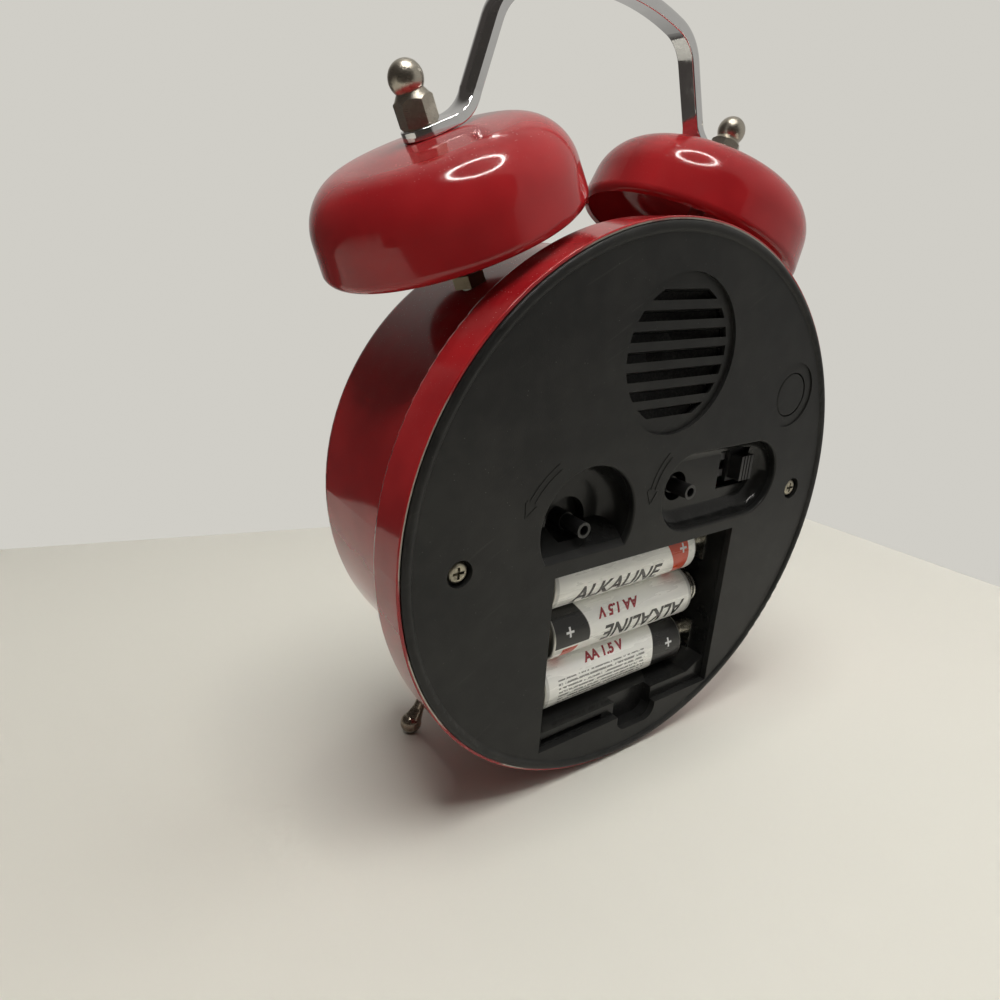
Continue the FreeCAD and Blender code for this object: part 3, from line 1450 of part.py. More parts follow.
def gearShape(teeth, module, rear, front, bore, phase):
    # Straight-sided teeth, narrower than the gaps they run in.
    pitch = 2 * math.pi / teeth
    middle = teeth * module / 2
    outer = middle + size.toothTall.value * module
    inner = middle - size.toothDeep.value * module
    root = size.toothRoot.value
    tip = size.toothTip.value
    corners = []
    for i in range(teeth):
        angle = math.radians(phase) + i * pitch
        for radius, aside in ((inner, -root), (outer, -tip), (outer, tip), (inner, root)):
            turn = angle + aside * pitch
            corners.append(FreeCAD.Vector(radius * math.cos(turn), -front, radius * math.sin(turn)))
    face = Part.Face(Part.makePolygon(corners + corners[:1]))
    return face.extrude(yAxis * (front - rear)).cut(tubeShape(bore, rear - 1, front + 1))


def tubeShape(radius, rear, front, bore=0):
    outer = Part.makeCylinder(radius, front - rear, FreeCAD.Vector(0, -front, 0), yAxis)
    if not bore:
        return outer
    return outer.cut(Part.makeCylinder(bore, front - rear + 2, FreeCAD.Vector(0, -front - 1, 0), yAxis))


def gearNode(name, pieces, x=0.0, z=0.0):
    item = document.addObject("Part::Feature", name)
    item.Shape = pieces[0].fuse(pieces[1:]).removeSplitter() if len(pieces) > 1 else pieces[0]
    item.Placement = FreeCAD.Placement(FreeCAD.Vector(x, 0, z), FreeCAD.Rotation())
    keep(item, name)


def meshPhase(angle, teeth, phase, otherTeeth):
    # Phase of a gear that meshes with another, whose centre lies at this angle from the other's.
    pitch = 360 / teeth
    otherPitch = 360 / otherTeeth
    share = ((angle - phase) / pitch) % 1
    return angle + 180 + (share + 0.5) * otherPitch


wheelFoot = movementRear + size.movementWall
motionDepth = wheelFoot + size.motionStep
hourDepth = motionDepth + size.hourStep
alarmDepth = hourDepth + size.alarmStep
handDepth = dialFront + size.bushTall + size.handFirst
handPlaces = {"alarm": 0, "hour": 1, "minute": 2, "second": 3}


def tubeEnd(place):
    # Front end of the tube that carries a hand, counted from the dial: alarm, hour, minute, second, none.
    return handDepth + place * size.handStep + size.handThick + size.tubeGap


def movementGears():
    timeX, timeZ = size.timeSide.value, size.timeHeight.value
    timeSpan = math.hypot(timeX, timeZ)
    timeAngle = math.atan2(timeZ, timeX)
    half = timeSpan / 2
    wheelX = half * math.cos(timeAngle) - size.wheelOffset.value * math.sin(timeAngle)
    wheelZ = half * math.sin(timeAngle) + size.wheelOffset.value * math.cos(timeAngle)
    span = math.hypot(wheelX, wheelZ)
    pinionTeeth = int(size.pinionTeeth.value)
    minuteTeeth = int(size.minuteTeeth.value)
    smallTeeth = int(size.minutePinionTeeth.value)
    hourTeeth = int(size.hourTeeth.value)
    alarmTeeth = int(size.alarmTeeth.value)
    module = 2 * span / (pinionTeeth + minuteTeeth)
    smallModule = 2 * span / (smallTeeth + hourTeeth)
    alarmX, alarmZ = size.alarmSide.value, size.alarmHeight.value
    alarmSpan = math.hypot(alarmX, alarmZ)
    alarmModule = 2 * alarmSpan / (pinionTeeth + alarmTeeth)
    thick = size.wheelThick.value
    gap = size.tubeGap.value
    boreEnd = tubeEnd(len(handPlaces)).value
    motion = motionDepth.value
    hour = hourDepth.value
    alarm = alarmDepth.value
    foot = wheelFoot.value

    # second wheel on its arbor
    arborEnd = tubeEnd(handPlaces["second"]).value
    arbor = tubeShape(size.arborRadius.value, foot - size.movementWall.value / 2, arborEnd)
    secondWheel = gearShape(int(size.secondTeeth.value), module / 2, foot + 1, foot + 1 + thick,
                            size.arborRadius.value / 2, 0)
    gearNode("second_wheel", [arbor, secondWheel])

    # cannon pinion, which carries the minute hand
    toWheel = math.degrees(math.atan2(wheelZ, wheelX))
    cannonTube = tubeShape(size.cannonRadius.value, motion - thick, tubeEnd(handPlaces["minute"]).value)
    cannon = gearShape(pinionTeeth, module, motion - thick / 4, motion + 1.25 * thick,
                       size.cannonRadius.value / 2, toWheel)
    bored = cannonTube.fuse(cannon).cut(tubeShape(size.arborRadius.value + gap, foot, boreEnd))
    gearNode("cannon_pinion", [bored])

    # minute wheel and its pinion, on a post of the movement's rear plate
    wheelPhase = meshPhase(toWheel, pinionTeeth, toWheel, minuteTeeth)
    bore = size.postRadius.value + gap
    wheel = gearShape(minuteTeeth, module, motion, motion + thick, bore, wheelPhase)
    small = gearShape(smallTeeth, smallModule, motion + thick, hour + 1.25 * thick, bore, 0)
    gearNode("minute_wheel", [wheel, small], wheelX, wheelZ)

    # hour wheel and its tube
    hourPhase = meshPhase(toWheel + 180, smallTeeth, 0, hourTeeth)
    hourWheel = gearShape(hourTeeth, smallModule, hour, hour + thick, size.hourRadius.value / 2, hourPhase)
    hourTube = tubeShape(size.hourRadius.value, hour, tubeEnd(handPlaces["hour"]).value)
    bored = hourWheel.fuse(hourTube).cut(tubeShape(size.cannonRadius.value + gap, foot, boreEnd))
    gearNode("hour_wheel", [bored])

    # time stem, whose pinion drives the minute wheel
    toTime = math.degrees(math.atan2(timeZ - wheelZ, timeX - wheelX))
    timePhase = meshPhase(toTime, minuteTeeth, wheelPhase, pinionTeeth)
    stemNode("time_stem", gearShape(pinionTeeth, module, motion - thick / 4, motion + 1.25 * thick,
                                    size.postRadius.value / 2, timePhase), motion + 1.25 * thick,
             size.timeStemTop.value, timeX, timeZ)

    # alarm wheel and its tube, driven by the alarm stem
    toAlarm = math.degrees(math.atan2(alarmZ, alarmX))
    alarmWheel = gearShape(alarmTeeth, alarmModule, alarm, alarm + thick, size.alarmRadius.value / 2, toAlarm)
    alarmTube = tubeShape(size.alarmRadius.value, alarm, tubeEnd(handPlaces["alarm"]).value)
    bored = alarmWheel.fuse(alarmTube).cut(tubeShape(size.hourRadius.value + gap, foot, boreEnd))
    gearNode("alarm_wheel", [bored])
    alarmPhase = meshPhase(toAlarm, alarmTeeth, toAlarm, pinionTeeth)
    stemNode("alarm_stem", gearShape(pinionTeeth, alarmModule, alarm - thick / 4, alarm + 1.25 * thick,
                                     size.postRadius.value / 2, alarmPhase), alarm + 1.25 * thick,
             size.alarmStemTop.value, alarmX, alarmZ)
    return wheelX, wheelZ


def stemNode(name, pinion, end, top, x, z):
    # A shaft from the well to its pinion, with a thinner, hollow end that seats a knob.
    shoulder = top + size.stemSeat.value
    seat = tubeShape(size.stemRadius.value, top, shoulder + 1)
    shaft = tubeShape(size.stemShaft.value, shoulder, end)
    bore = tubeShape(size.stemBore.value, top - 1, top + size.stemBoreDeep.value)
    gearNode(name, [shaft.fuse([seat, pinion]).cut(bore)], x, z)


def movementShells(wheelX, wheelZ):
    half = size.movementHalf
    wall = size.movementWall
    split = movementRear + size.movementSplit

    def shell(name, rear, front, floorRear, openFront):
        outside = slab(f"{name}_outside", -1 * half, half, rear, front, -1 * half, half)
        inside = slab(f"{name}_inside", wall - half, half - wall, floorRear, openFront, wall - half, half - wall)
        return cut(f"{name}_shell", outside, inside)

    rearShell = shell("movement_rear", movementRear, split, movementRear + wall, split + 1)
    post = rod("minute_post", wheelX, wheelZ, movementRear + wall / 2, hourDepth + 2 * size.wheelThick,
               size.postRadius)
    coilX = 0 * half
    coilZ = -size.movementHalf * size.statorShare
    coilDepth = movementRear + size.movementThick / 2
    cradle = []
    for sign in sides.values():
        x = coilX + sign * half / 2
        cradle.append(slab(f"coil_cradle_{sign + 1}", x - wall, x + wall, movementRear + wall / 2,
                           coilDepth - size.coilFlange - size.seatGap, coilZ - size.coilRadius,
                           coilZ + size.coilRadius))
    solid = fused("movement_rear_solid", [rearShell, post] + cradle)
    holes = [
        rod("time_stem_pass", size.timeSide, size.timeHeight, movementRear - 1, movementRear + 2 * wall,
            size.stemShaft + size.stemGap),
        rod("alarm_stem_hole", size.alarmSide, size.alarmHeight, movementRear - 1, movementRear + 2 * wall,
            size.stemShaft + size.stemGap),
        rod("arbor_hole", 0, 0, movementRear + wall / 2, movementRear + 2 * wall,
            size.arborRadius + size.tubeGap),
    ]
    keep(cut("movement_rear", solid, fused("movement_rear_holes", holes)), "movement_rear")
    frontShell = shell("movement_front", split, dialRear, split - 1, dialRear - wall)
    bush = rod("movement_bush", 0, 0, dialRear - wall, dialFront + size.bushTall, size.bushRadius)
    bore = rod("bush_bore", 0, 0, split, dialFront + 2 * size.bushTall, size.alarmRadius + size.tubeGap)
    keep(cut("movement_front", fused("movement_front_solid", [frontShell, bush]), bore), "movement_front")
    nut = cut("movement_nut", rod("movement_nut_out", 0, 0, dialFront, dialFront + size.movementNutThick,
                                  size.movementNutRadius),
              rod("movement_nut_in", 0, 0, dialFront - 1, dialFront + 2 * size.movementNutThick,
                  size.bushRadius))
    keep(nut, "movement_nut")

    # stepping motor: a coil on a bobbin, and the stator that runs through it
    bobbin = half * size.bobbinShare
    rim = size.wheelThick
    coil = bar("coil_winding", coilX - bobbin, coilDepth, coilZ, 2 * bobbin, size.coilRadius)
    flanges = [bar(f"coil_flange_{i}", coilX + side * bobbin - rim / 2, coilDepth, coilZ, rim, size.coilFlange)
               for i, side in enumerate((-1, 1))]
    core = bar("coil_core", coilX - 2 * bobbin, coilDepth, coilZ, 4 * bobbin, size.coreRadius)
    keep(cut("motor_coil", fused("coil_solid", [coil] + flanges), core), "motor_coil")
    arms = []
    for i, sign in enumerate((-1, 1)):
        x = coilX + sign * half * size.statorShare
        wide = size.statorHalf
        arms.append(slab(f"stator_arm_{i}", x - wide, x + wide, coilDepth - rim, coilDepth + rim, coilZ - wide,
                         coilZ + size.statorArm))
    yokeHalf = half * size.statorShare
    yoke = bar("stator_core", coilX - yokeHalf, coilDepth, coilZ, 2 * yokeHalf,
               size.coreRadius - size.tubeGap)
    keep(fused("motor_stator", arms + [yoke]), "motor_stator")


# Hands

def hand(shaft, corners, hub, bore, angle):
    # A hand lies in the dial plane, pointing up, and is then turned clockwise to its angle.
    name = f"{shaft}_hand"
    rear = handDepth + handPlaces[shaft] * size.handStep
    front = rear + size.handThick
    blade = padded(f"{name}_blade", corners, rear, front)
    boss = rod(f"{name}_boss", 0, 0, rear, front, hub)
    hole = rod(f"{name}_hole", 0, 0, rear - 1, front + 1, bore)
    item = cut(name, fused(f"{name}_flat", [blade, boss]), hole)
    item.Placement = FreeCAD.Placement(FreeCAD.Vector(), FreeCAD.Rotation(yAxis, angle))
    keep(item, name)


def leaf(reach, half, tail):
    # A leaf-shaped blade, narrow at the hub and widest well past the middle.
    tailHalf = half * size.leafTail
    neckHalf = half * size.leafNeck
    tipHalf = half * size.leafTip
    neckReach = reach * size.leafNeckReach
    wideReach = reach * size.leafWideReach
    return [
        (-tailHalf, -tail),
        (tailHalf, -tail),
        (neckHalf, neckReach),
        (half, wideReach),
        (tipHalf, reach),
        (-tipHalf, reach),
        (-half, wideReach),
        (-neckHalf, neckReach),
    ]


def hands():
    minuteTurn = size.clockMinute.value * 6
    hourTurn = size.clockHour.value * 30 + size.clockMinute.value / 2
    tail = size.hubExtra * size.tailShare
    hand("alarm", leaf(size.alarmReach, size.alarmHalf, tail),
         size.alarmRadius + size.hubExtra, size.alarmRadius, size.alarmHour.value * 30)
    hand("hour", leaf(size.hourReach, size.hourHalf, tail),
         size.hourRadius + size.hubExtra, size.hourRadius, hourTurn)
    hand("minute", leaf(size.minuteReach, size.minuteHalf, tail),
         size.cannonRadius + size.hubExtra, size.cannonRadius, minuteTurn)
    hand("second", leaf(size.secondReach, size.secondHalf, size.secondReach * size.secondTail),
         size.arborRadius + size.hubExtra, size.arborRadius, size.clockSecond.value * 6)


# The whole clock

caseDrum()
coverBrackets()
rearCover()
coverScrews()
bells()
ballNuts()
studsAndNuts()
handle()
frontFeet()
speaker()
circuitBoard()
slideSwitch()
pushButton()
batteryCells()
batteryContacts()
dialStack()
dialFrame()
wheelPlace = movementGears()
movementShells(*wheelPlace)
hands()
document.recompute()

# Lean the clock back, then set it down with the origin under the middle of its box.
leaned = FreeCAD.Placement(FreeCAD.Vector(), FreeCAD.Rotation(xAxis, size.leanAngle.value * -1))
for node in nodes:
    node.Placement = leaned.multiply(node.Placement)
document.recompute()
boxes = [node.Shape.optimalBoundingBox(False, False) for node in nodes]
low = [min(getattr(box, f"{letter}Min") for box in boxes) for letter in "XYZ"]
high = [max(getattr(box, f"{letter}Max") for box in boxes) for letter in "XYZ"]
settle = FreeCAD.Placement(FreeCAD.Vector(-(low[0] + high[0]) / 2, -(low[1] + high[1]) / 2, -low[2]),
                           FreeCAD.Rotation())
for node in nodes:
    node.Placement = settle.multiply(node.Placement)
document.recompute()

for item in document.Objects:
    if {"Invalid", "Error"} & set(item.State):
        raise ValueError(f"{item.Name} did not build: {item.State}")
for node in nodes:
    if node.Shape.isNull() or not node.Shape.isValid() or not node.Shape.Solids:
        raise ValueError(f"{node.Label} has no sound solid")

os.makedirs("parts", exist_ok=True)
for node in nodes:
    node.Shape.exportStep(f"parts/{node.Label}.step")
print("case origin", settle.Base, "nodes", len(nodes))
print("size", [round(b - a, 2) for a, b in zip(low, high)])
print("minute wheel at", *[round(spot, 6) for spot in wheelPlace])
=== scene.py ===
import bpy, bmesh, json
from math import cos, pi, radians, sin
from mathutils import Matrix, Vector


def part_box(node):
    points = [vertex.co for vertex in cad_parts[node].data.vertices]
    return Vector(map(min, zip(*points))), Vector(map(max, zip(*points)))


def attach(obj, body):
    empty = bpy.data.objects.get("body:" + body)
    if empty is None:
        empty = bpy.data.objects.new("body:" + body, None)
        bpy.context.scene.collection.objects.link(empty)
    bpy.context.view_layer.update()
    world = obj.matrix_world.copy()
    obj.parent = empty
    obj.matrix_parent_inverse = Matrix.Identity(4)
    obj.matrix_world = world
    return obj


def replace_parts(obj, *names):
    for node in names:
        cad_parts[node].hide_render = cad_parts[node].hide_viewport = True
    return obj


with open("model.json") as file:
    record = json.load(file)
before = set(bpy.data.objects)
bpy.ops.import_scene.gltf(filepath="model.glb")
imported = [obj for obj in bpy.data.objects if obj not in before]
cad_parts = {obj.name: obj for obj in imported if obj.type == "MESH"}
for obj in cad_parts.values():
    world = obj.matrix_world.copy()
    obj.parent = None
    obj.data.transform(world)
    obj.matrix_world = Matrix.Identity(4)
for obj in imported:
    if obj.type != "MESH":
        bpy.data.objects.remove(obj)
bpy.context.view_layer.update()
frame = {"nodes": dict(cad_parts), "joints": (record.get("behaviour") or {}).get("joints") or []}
nodes = frame["nodes"]
scene = bpy.context.scene

# The case's own directions, read from the hinge that the minute hand turns on.
hub = next(joint for joint in frame["joints"] if joint["name"] == "minute_turn")
caseMiddle = Vector(hub["pos_m"])        # middle of the rear cover's outer face
caseRear = Vector(hub["axis"]).normalized()
caseRight = Vector((1, 0, 0))
caseUp = caseRight.cross(caseRear)
caseTurn = Matrix((caseRight, caseRear, caseUp)).transposed()
caseMatrix = Matrix.Translation(caseMiddle) @ caseTurn.to_4x4() @ Matrix.Scale(0.001, 4)


def casePoint(x, depth, z):
    # millimetres right of, ahead of and above the middle of the cover, as a point in the scene
    return caseMatrix @ Vector((x, -depth, z))


class Shade:
    # one shader socket: sums and products of sockets add their own Math nodes
    def __init__(self, finish, socket):
        self.finish = finish
        self.socket = socket

    def maths(self, operation, *values):
        return self.finish.node("ShaderNodeMath", {"operation": operation}, dict(enumerate(values)))

    def __add__(self, other):
        return self.maths("ADD", self, other)

    def __radd__(self, other):
        return self.maths("ADD", other, self)

    def __sub__(self, other):
        return self.maths("SUBTRACT", self, other)

    def __rsub__(self, other):
        return self.maths("SUBTRACT", other, self)

    def __mul__(self, other):
        return self.maths("MULTIPLY", self, other)

    def __rmul__(self, other):
        return self.maths("MULTIPLY", other, self)

    def __abs__(self):
        return self.maths("ABSOLUTE", self)

    def below(self, limit, soft=0.1):
        # 1 under the limit, 0 over it, with a soft edge
        return self.rise(limit + soft, limit - soft)

    def above(self, limit, soft=0.1):
        return self.rise(limit - soft, limit + soft)

    def rise(self, low, high):
        # eased from 0 at one value to 1 at the other
        return self.finish.node("ShaderNodeMapRange", {"interpolation_type": "SMOOTHSTEP"},
                                {"Value": self, "From Min": low, "From Max": high})


class NodeSheet:
    # adds nodes to the tree of a material or a world
    def __init__(self, tree):
        self.tree = tree

    def node(self, kind, settings=None, inputs=None, output=0):
        made = self.tree.nodes.new(kind)
        for key, value in (settings or {}).items():
            setattr(made, key, value)
        for key, value in (inputs or {}).items():
            self.plug(made.inputs[key], value)
        return Shade(self, made.outputs[output])

    def plug(self, socket, value):
        if isinstance(value, Shade):
            self.tree.links.new(value.socket, socket)
        else:
            socket.default_value = value

    def mix(self, share, first, second):
        first, second = [(*c, 1) if isinstance(c, tuple) and len(c) == 3 else c for c in (first, second)]
        return self.node("ShaderNodeMix", {"data_type": "RGBA"}, {0: share, 6: first, 7: second}, 2)


class Finish(NodeSheet):
    # a material with one Principled shader, on coordinates in millimetres in the case's frame
    def __init__(self, name, colour, roughness, **others):
        self.material = bpy.data.materials.new(name)
        self.material.use_nodes = True
        super().__init__(self.material.node_tree)
        self.shader = self.tree.nodes["Principled BSDF"]
        self.set("Base Color", (*colour, 1))
        self.set("Roughness", roughness)
        for socket, value in others.items():
            self.set(socket.replace("_", " "), value)
        self.place = None

    def set(self, socket, value):
        self.plug(self.shader.inputs[socket], value)

    def spot(self, middle=None, turn=None, stretch=(1, 1, 1)):
        # position in the case's frame in millimetres, about a point of it, turned and squeezed
        if self.place is None:
            where = self.node("ShaderNodeTexCoord", output="Object")
            spin = caseTurn.to_euler()
            self.place = self.node("ShaderNodeMapping", {"vector_type": "TEXTURE"},
                                   {"Vector": where, "Location": caseMiddle, "Rotation": spin,
                                    "Scale": (0.001,) * 3})
        if middle is None and turn is None and stretch == (1, 1, 1):
            return self.place
        return self.node("ShaderNodeMapping", {"vector_type": "TEXTURE"},
                         {"Vector": self.place, "Location": middle or (0, 0, 0),
                          "Rotation": turn or (0, 0, 0), "Scale": stretch})

    def axes(self, vector=None):
        parts = self.node("ShaderNodeSeparateXYZ", inputs={"Vector": vector or self.spot()})
        return [Shade(self, socket) for socket in parts.socket.node.outputs]

    def length(self, vector):
        return self.node("ShaderNodeVectorMath", {"operation": "LENGTH"}, {0: vector}, "Value")

    def noise(self, scale, detail=3.0, rough=0.5, vector=None):
        return self.node("ShaderNodeTexNoise", inputs={"Vector": vector or self.spot(), "Scale": scale,
                                                       "Detail": detail, "Roughness": rough})

    def upward(self):
        # 1 on a surface that faces up, where dust settles
        facing = self.node("ShaderNodeNewGeometry", output="Normal")
        return self.axes(facing)[2].rise(0.15, 1.0)

    def specks(self, scale, size, amount):
        # small round spots, kept where a slow noise is high
        grains = self.node("ShaderNodeTexVoronoi", inputs={"Vector": self.spot(), "Scale": scale},
                           output="Distance")
        spots = grains.below(size, size * 0.35)
        return spots * self.noise(scale * 0.35, 1).above(1 - amount, 0.06)

    def relief(self, height, depth):
        # a bump whose full height is a depth in millimetres
        self.set("Normal", self.node("ShaderNodeBump", inputs={"Height": height, "Distance": depth * 0.001}))

    def wear(self, *names):
        for name in names:
            target = nodes[name] if isinstance(name, str) else name
            target.data.materials.clear()
            target.data.materials.append(self.material)
        return self


# The radii and depth of the bare band are those of the flange's cut edge, in millimetres; the band is partly
# worn enamel and partly a painted highlight line.
enamel = {"red": (0.36, 0.017, 0.02), "deep": (0.27, 0.01, 0.013), "dust": (0.4, 0.22, 0.2), "gloss": 0.11,
          "coat": 0.25, "metal": (0.4, 0.38, 0.34), "rimInner": 66.3, "rimOuter": 67.35, "rimDepth": 0.75}


def redEnamel(name, bareRimHighlight=False):
    finish = Finish(name, enamel["red"], enamel["gloss"], Coat_Weight=enamel["coat"], Coat_Roughness=0.05,
                    Specular_IOR_Level=0.36)
    slow = finish.noise(0.05, 2)
    film = finish.noise(0.12, 4, 0.6).rise(0.42, 0.7) * 0.1
    dust = finish.upward() * (film + finish.specks(1.3, 0.13, 0.5) * 0.6)
    smear = finish.noise(0.09, 5, 0.65, finish.spot(stretch=(3, 1, 1))).rise(0.5, 0.72)
    colour = finish.mix(slow.rise(0.3, 0.7), enamel["red"], enamel["deep"])
    colour = finish.mix(dust, colour, enamel["dust"])
    rough = enamel["gloss"] + dust * 0.5 + smear * 0.07
    if bareRimHighlight:
        # the cut edge of the flange: a patchy band of bare steel, partly worn enamel and partly a painted
        # highlight line along the edge
        x, y, z = finish.axes()
        radius = finish.length(finish.node("ShaderNodeCombineXYZ", inputs={"X": x, "Z": z}))
        bare = y.above(-enamel["rimDepth"], 0.12) * radius.above(enamel["rimInner"], 0.05)
        bare = bare * radius.below(enamel["rimOuter"], 0.15) * finish.noise(0.03, 2).rise(0.46, 0.52)
        colour = finish.mix(bare, colour, enamel["metal"])
        rough = rough + bare * 0.22
        finish.set("Metallic", bare)
        finish.set("Coat Weight", enamel["coat"] - bare * enamel["coat"])
    finish.set("Base Color", colour)
    finish.set("Roughness", rough)
    finish.relief(finish.noise(0.3, 2) + finish.noise(1.8, 1) * 0.12, 0.008)
    return finish


plastic = {"black": (0.0095, 0.0096, 0.0094), "worn": (0.016, 0.016, 0.0155), "dust": (0.1, 0.097, 0.088),
           "face": 0.42, "well": 0.18, "shine": 0.27}


def coverPlastic(name):
    finish = Finish(name, plastic["black"], plastic["face"], Specular_IOR_Level=plastic["shine"])
    x, y, z = finish.axes()
    hollow = y.below(-1.6, 0.6)
    cloud = finish.noise(0.035, 5, 0.62).rise(0.42, 0.68)
    lint = finish.specks(0.9, 0.1, 0.42) * 0.55
    slant = finish.spot(turn=(0, radians(28), 0), stretch=(9, 1, 0.6))
    scuff = finish.noise(0.5, 3, 0.5, slant).rise(0.63, 0.75)
    dust = (cloud * 0.1 + lint + scuff * 0.1) * (1 - hollow * 0.6)
    colour = finish.mix(finish.noise(0.2, 3).rise(0.35, 0.7) * 0.6, plastic["black"], plastic["worn"])
    finish.set("Base Color", finish.mix(dust, colour, plastic["dust"]))
    finish.set("Roughness", plastic["face"] - hollow * (plastic["face"] - plastic["well"]) + cloud * 0.08)
    grain = finish.noise(3.2, 3, 0.6) * (1 - hollow * 0.75) + finish.noise(0.06, 2) * 1.6
    finish.relief(grain, 0.028)
    return finish


def mouldedPlastic(name, colour, rough=0.4, coat=0.0):
    finish = Finish(name, colour, rough, Coat_Weight=coat)
    lighter = tuple(min(1.0, c * 1.35 + 0.004) for c in colour)
    patch = finish.noise(0.25, 4, 0.6)
    pale = patch.rise(0.4, 0.75) * 0.6 + finish.specks(1.1, 0.1, 0.4) * 0.4
    finish.set("Base Color", finish.mix(pale, colour, lighter))
    finish.set("Roughness", rough + patch.rise(0.4, 0.7) * 0.12)
    finish.relief(finish.noise(4.0, 3, 0.6), 0.012)
    return finish


def turnedMetal(name, colour, rough, lay=(0, 0, 1), dirt=0.5):
    # bright metal with fine tool marks and a little grime
    finish = Finish(name, colour, rough, Metallic=1.0)
    stretch = tuple(0.25 if part else 6.0 for part in lay)
    marks = finish.noise(5.0, 3, 0.55, finish.spot(stretch=stretch))
    grime = finish.noise(0.3, 4, 0.65).rise(0.5, 0.74) * dirt
    darker = tuple(c * 0.5 for c in colour)
    stained = finish.mix(marks.rise(0.35, 0.7) * 0.16, colour, darker)
    finish.set("Base Color", finish.mix(grime, stained, darker))
    finish.set("Roughness", rough + marks.rise(0.35, 0.7) * 0.07 + grime * 0.14)
    finish.relief(marks, 0.004)
    return finish


def chromePlate(name):
    finish = Finish(name, (0.76, 0.76, 0.77), 0.06, Metallic=1.0)
    smudge = finish.noise(0.12, 5, 0.65).rise(0.46, 0.75)
    pits = finish.specks(1.6, 0.1, 0.42)
    finish.set("Base Color", finish.mix(pits * 0.8 + smudge * 0.12, (0.74, 0.74, 0.75), (0.22, 0.2, 0.18)))
    finish.set("Roughness", 0.05 + smudge * 0.1 + pits * 0.3)
    finish.relief(finish.noise(0.35, 2) - pits * 0.3, 0.008)
    return finish


# Lengths along a cell count from the tip of its positive end; heights count from its axis.
cellLook = {"silver": (0.88, 0.88, 0.84), "shade": (0.72, 0.72, 0.7), "black": (0.011, 0.0105, 0.01),
            "accent": (0.55, 0.06, 0.02), "print": (0.03, 0.03, 0.03), "steel": (0.55, 0.54, 0.5),
            "sign": (0.7, 0.7, 0.7), "blackEnd": 13.0, "ringStart": 4.6, "ringEnd": 10.5, "sleeveStart": 2.0,
            "signAlong": 6.6, "signUp": 2.2, "signLong": 1.25, "signThin": 0.28,
            "rowsLow": -5.2, "rowsHigh": 3.2, "rowsStart": 16.0, "rowsEnd": 46}


def cellPlace(node):
    # middle of a cell in case millimetres, and half its length
    low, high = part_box(node)
    return caseMatrix.inverted() @ ((low + high) / 2), (high.x - low.x) * 500


def cellJacket(name, node, sign, lined, darkFrom):
    # sign is the side of the positive end: the printed sleeve counts from there, dark above a height
    d = cellLook
    middle, half = cellPlace(node)
    finish = Finish(name, d["silver"], 0.3)
    x, y, z = finish.axes(finish.spot(middle=tuple(middle)))
    along = half - x * sign
    black = (along + z * z * 0.045).below(d["blackEnd"], 0.15) * z.above(darkFrom, 0.1)
    ring = along.above(d["ringStart"], 0.1) * (along - z * 0.4).below(d["ringEnd"], 0.1)
    ring = ring * z.below(darkFrom - 0.6, 0.1)
    tail = along.above(2 * half - 1.5, 0.1) * 0.35
    across = finish.length(finish.node("ShaderNodeCombineXYZ", inputs={"Y": y, "Z": z}))
    sleeved = along.above(d["sleeveStart"], 0.05) * along.below(2 * half - 0.55, 0.05)
    bare = 1 - sleeved * across.above(6.3, 0.1)
    # thin printed lines along the sleeve, and a sign of plain bars by the positive end
    lineUp = z * 0.95
    rows = lineUp.maths("FRACT", lineUp + 0.3).below(0.5, 0.06)
    rows = rows * z.above(d["rowsLow"], 0.05) * z.below(d["rowsHigh"], 0.05)
    words = finish.noise(0.9, 2, 0.7, finish.spot(stretch=(1, 30, 1.05))).above(0.44, 0.015)
    lines = rows * words * along.above(d["rowsStart"], 0.1) * along.below(d["rowsEnd"], 0.1) * lined
    aside, up = abs(along - d["signAlong"]), abs(z - d["signUp"])
    tall = aside.below(d["signThin"], 0.06) * up.below(d["signLong"], 0.06)
    flat = aside.below(d["signLong"], 0.06) * up.below(d["signThin"], 0.06)
    cross = tall.maths("MAXIMUM", tall, flat) * y.above(0.0)
    streak = finish.noise(0.3, 4, 0.6, finish.spot(stretch=(6, 1, 1))).rise(0.4, 0.65)
    silver = finish.mix(streak * 0.5, d["silver"], d["shade"])
    dark = black.maths("MAXIMUM", black, tail)
    colour = finish.mix(lines * 0.9, silver, d["print"])
    colour = finish.mix(ring, colour, d["accent"])
    colour = finish.mix(dark, colour, d["black"])
    colour = finish.mix(cross, colour, d["sign"])
    finish.set("Base Color", finish.mix(bare, colour, d["steel"]))
    finish.set("Metallic", (1 - dark) * 0.12 * (1 - ring) * (1 - bare) + bare)
    finish.set("Roughness", 0.26 + streak * 0.1 + bare * 0.04)
    finish.set("Coat Weight", 0.35 - bare.maths("MAXIMUM", bare, black * 0.7) * 0.35)
    finish.relief(finish.noise(0.5, 2), 0.02)
    return finish


def dialPaper(name):
    finish = Finish(name, (0.82, 0.81, 0.76), 0.5)
    fibre = finish.noise(2.5, 4, 0.6)
    age = finish.length(finish.spot()).rise(60, 75) * 0.25 + finish.noise(0.05, 3).rise(0.4, 0.7) * 0.12
    finish.set("Base Color", finish.mix(age, finish.mix(fibre * 0.12, (0.84, 0.83, 0.79), (0.7, 0.68, 0.62)),
                                        (0.66, 0.61, 0.5)))
    finish.set("Roughness", 0.48 + fibre * 0.1)
    finish.relief(fibre, 0.008)
    return finish


def lensPlastic(name):
    finish = Finish(name, (1.0, 1.0, 1.0), 0.02, Transmission_Weight=1.0, IOR=1.46)
    haze = finish.noise(0.08, 4, 0.6).rise(0.5, 0.8)
    finish.set("Roughness", 0.012 + haze * 0.03 + finish.specks(0.7, 0.08, 0.4) * 0.25)
    return finish


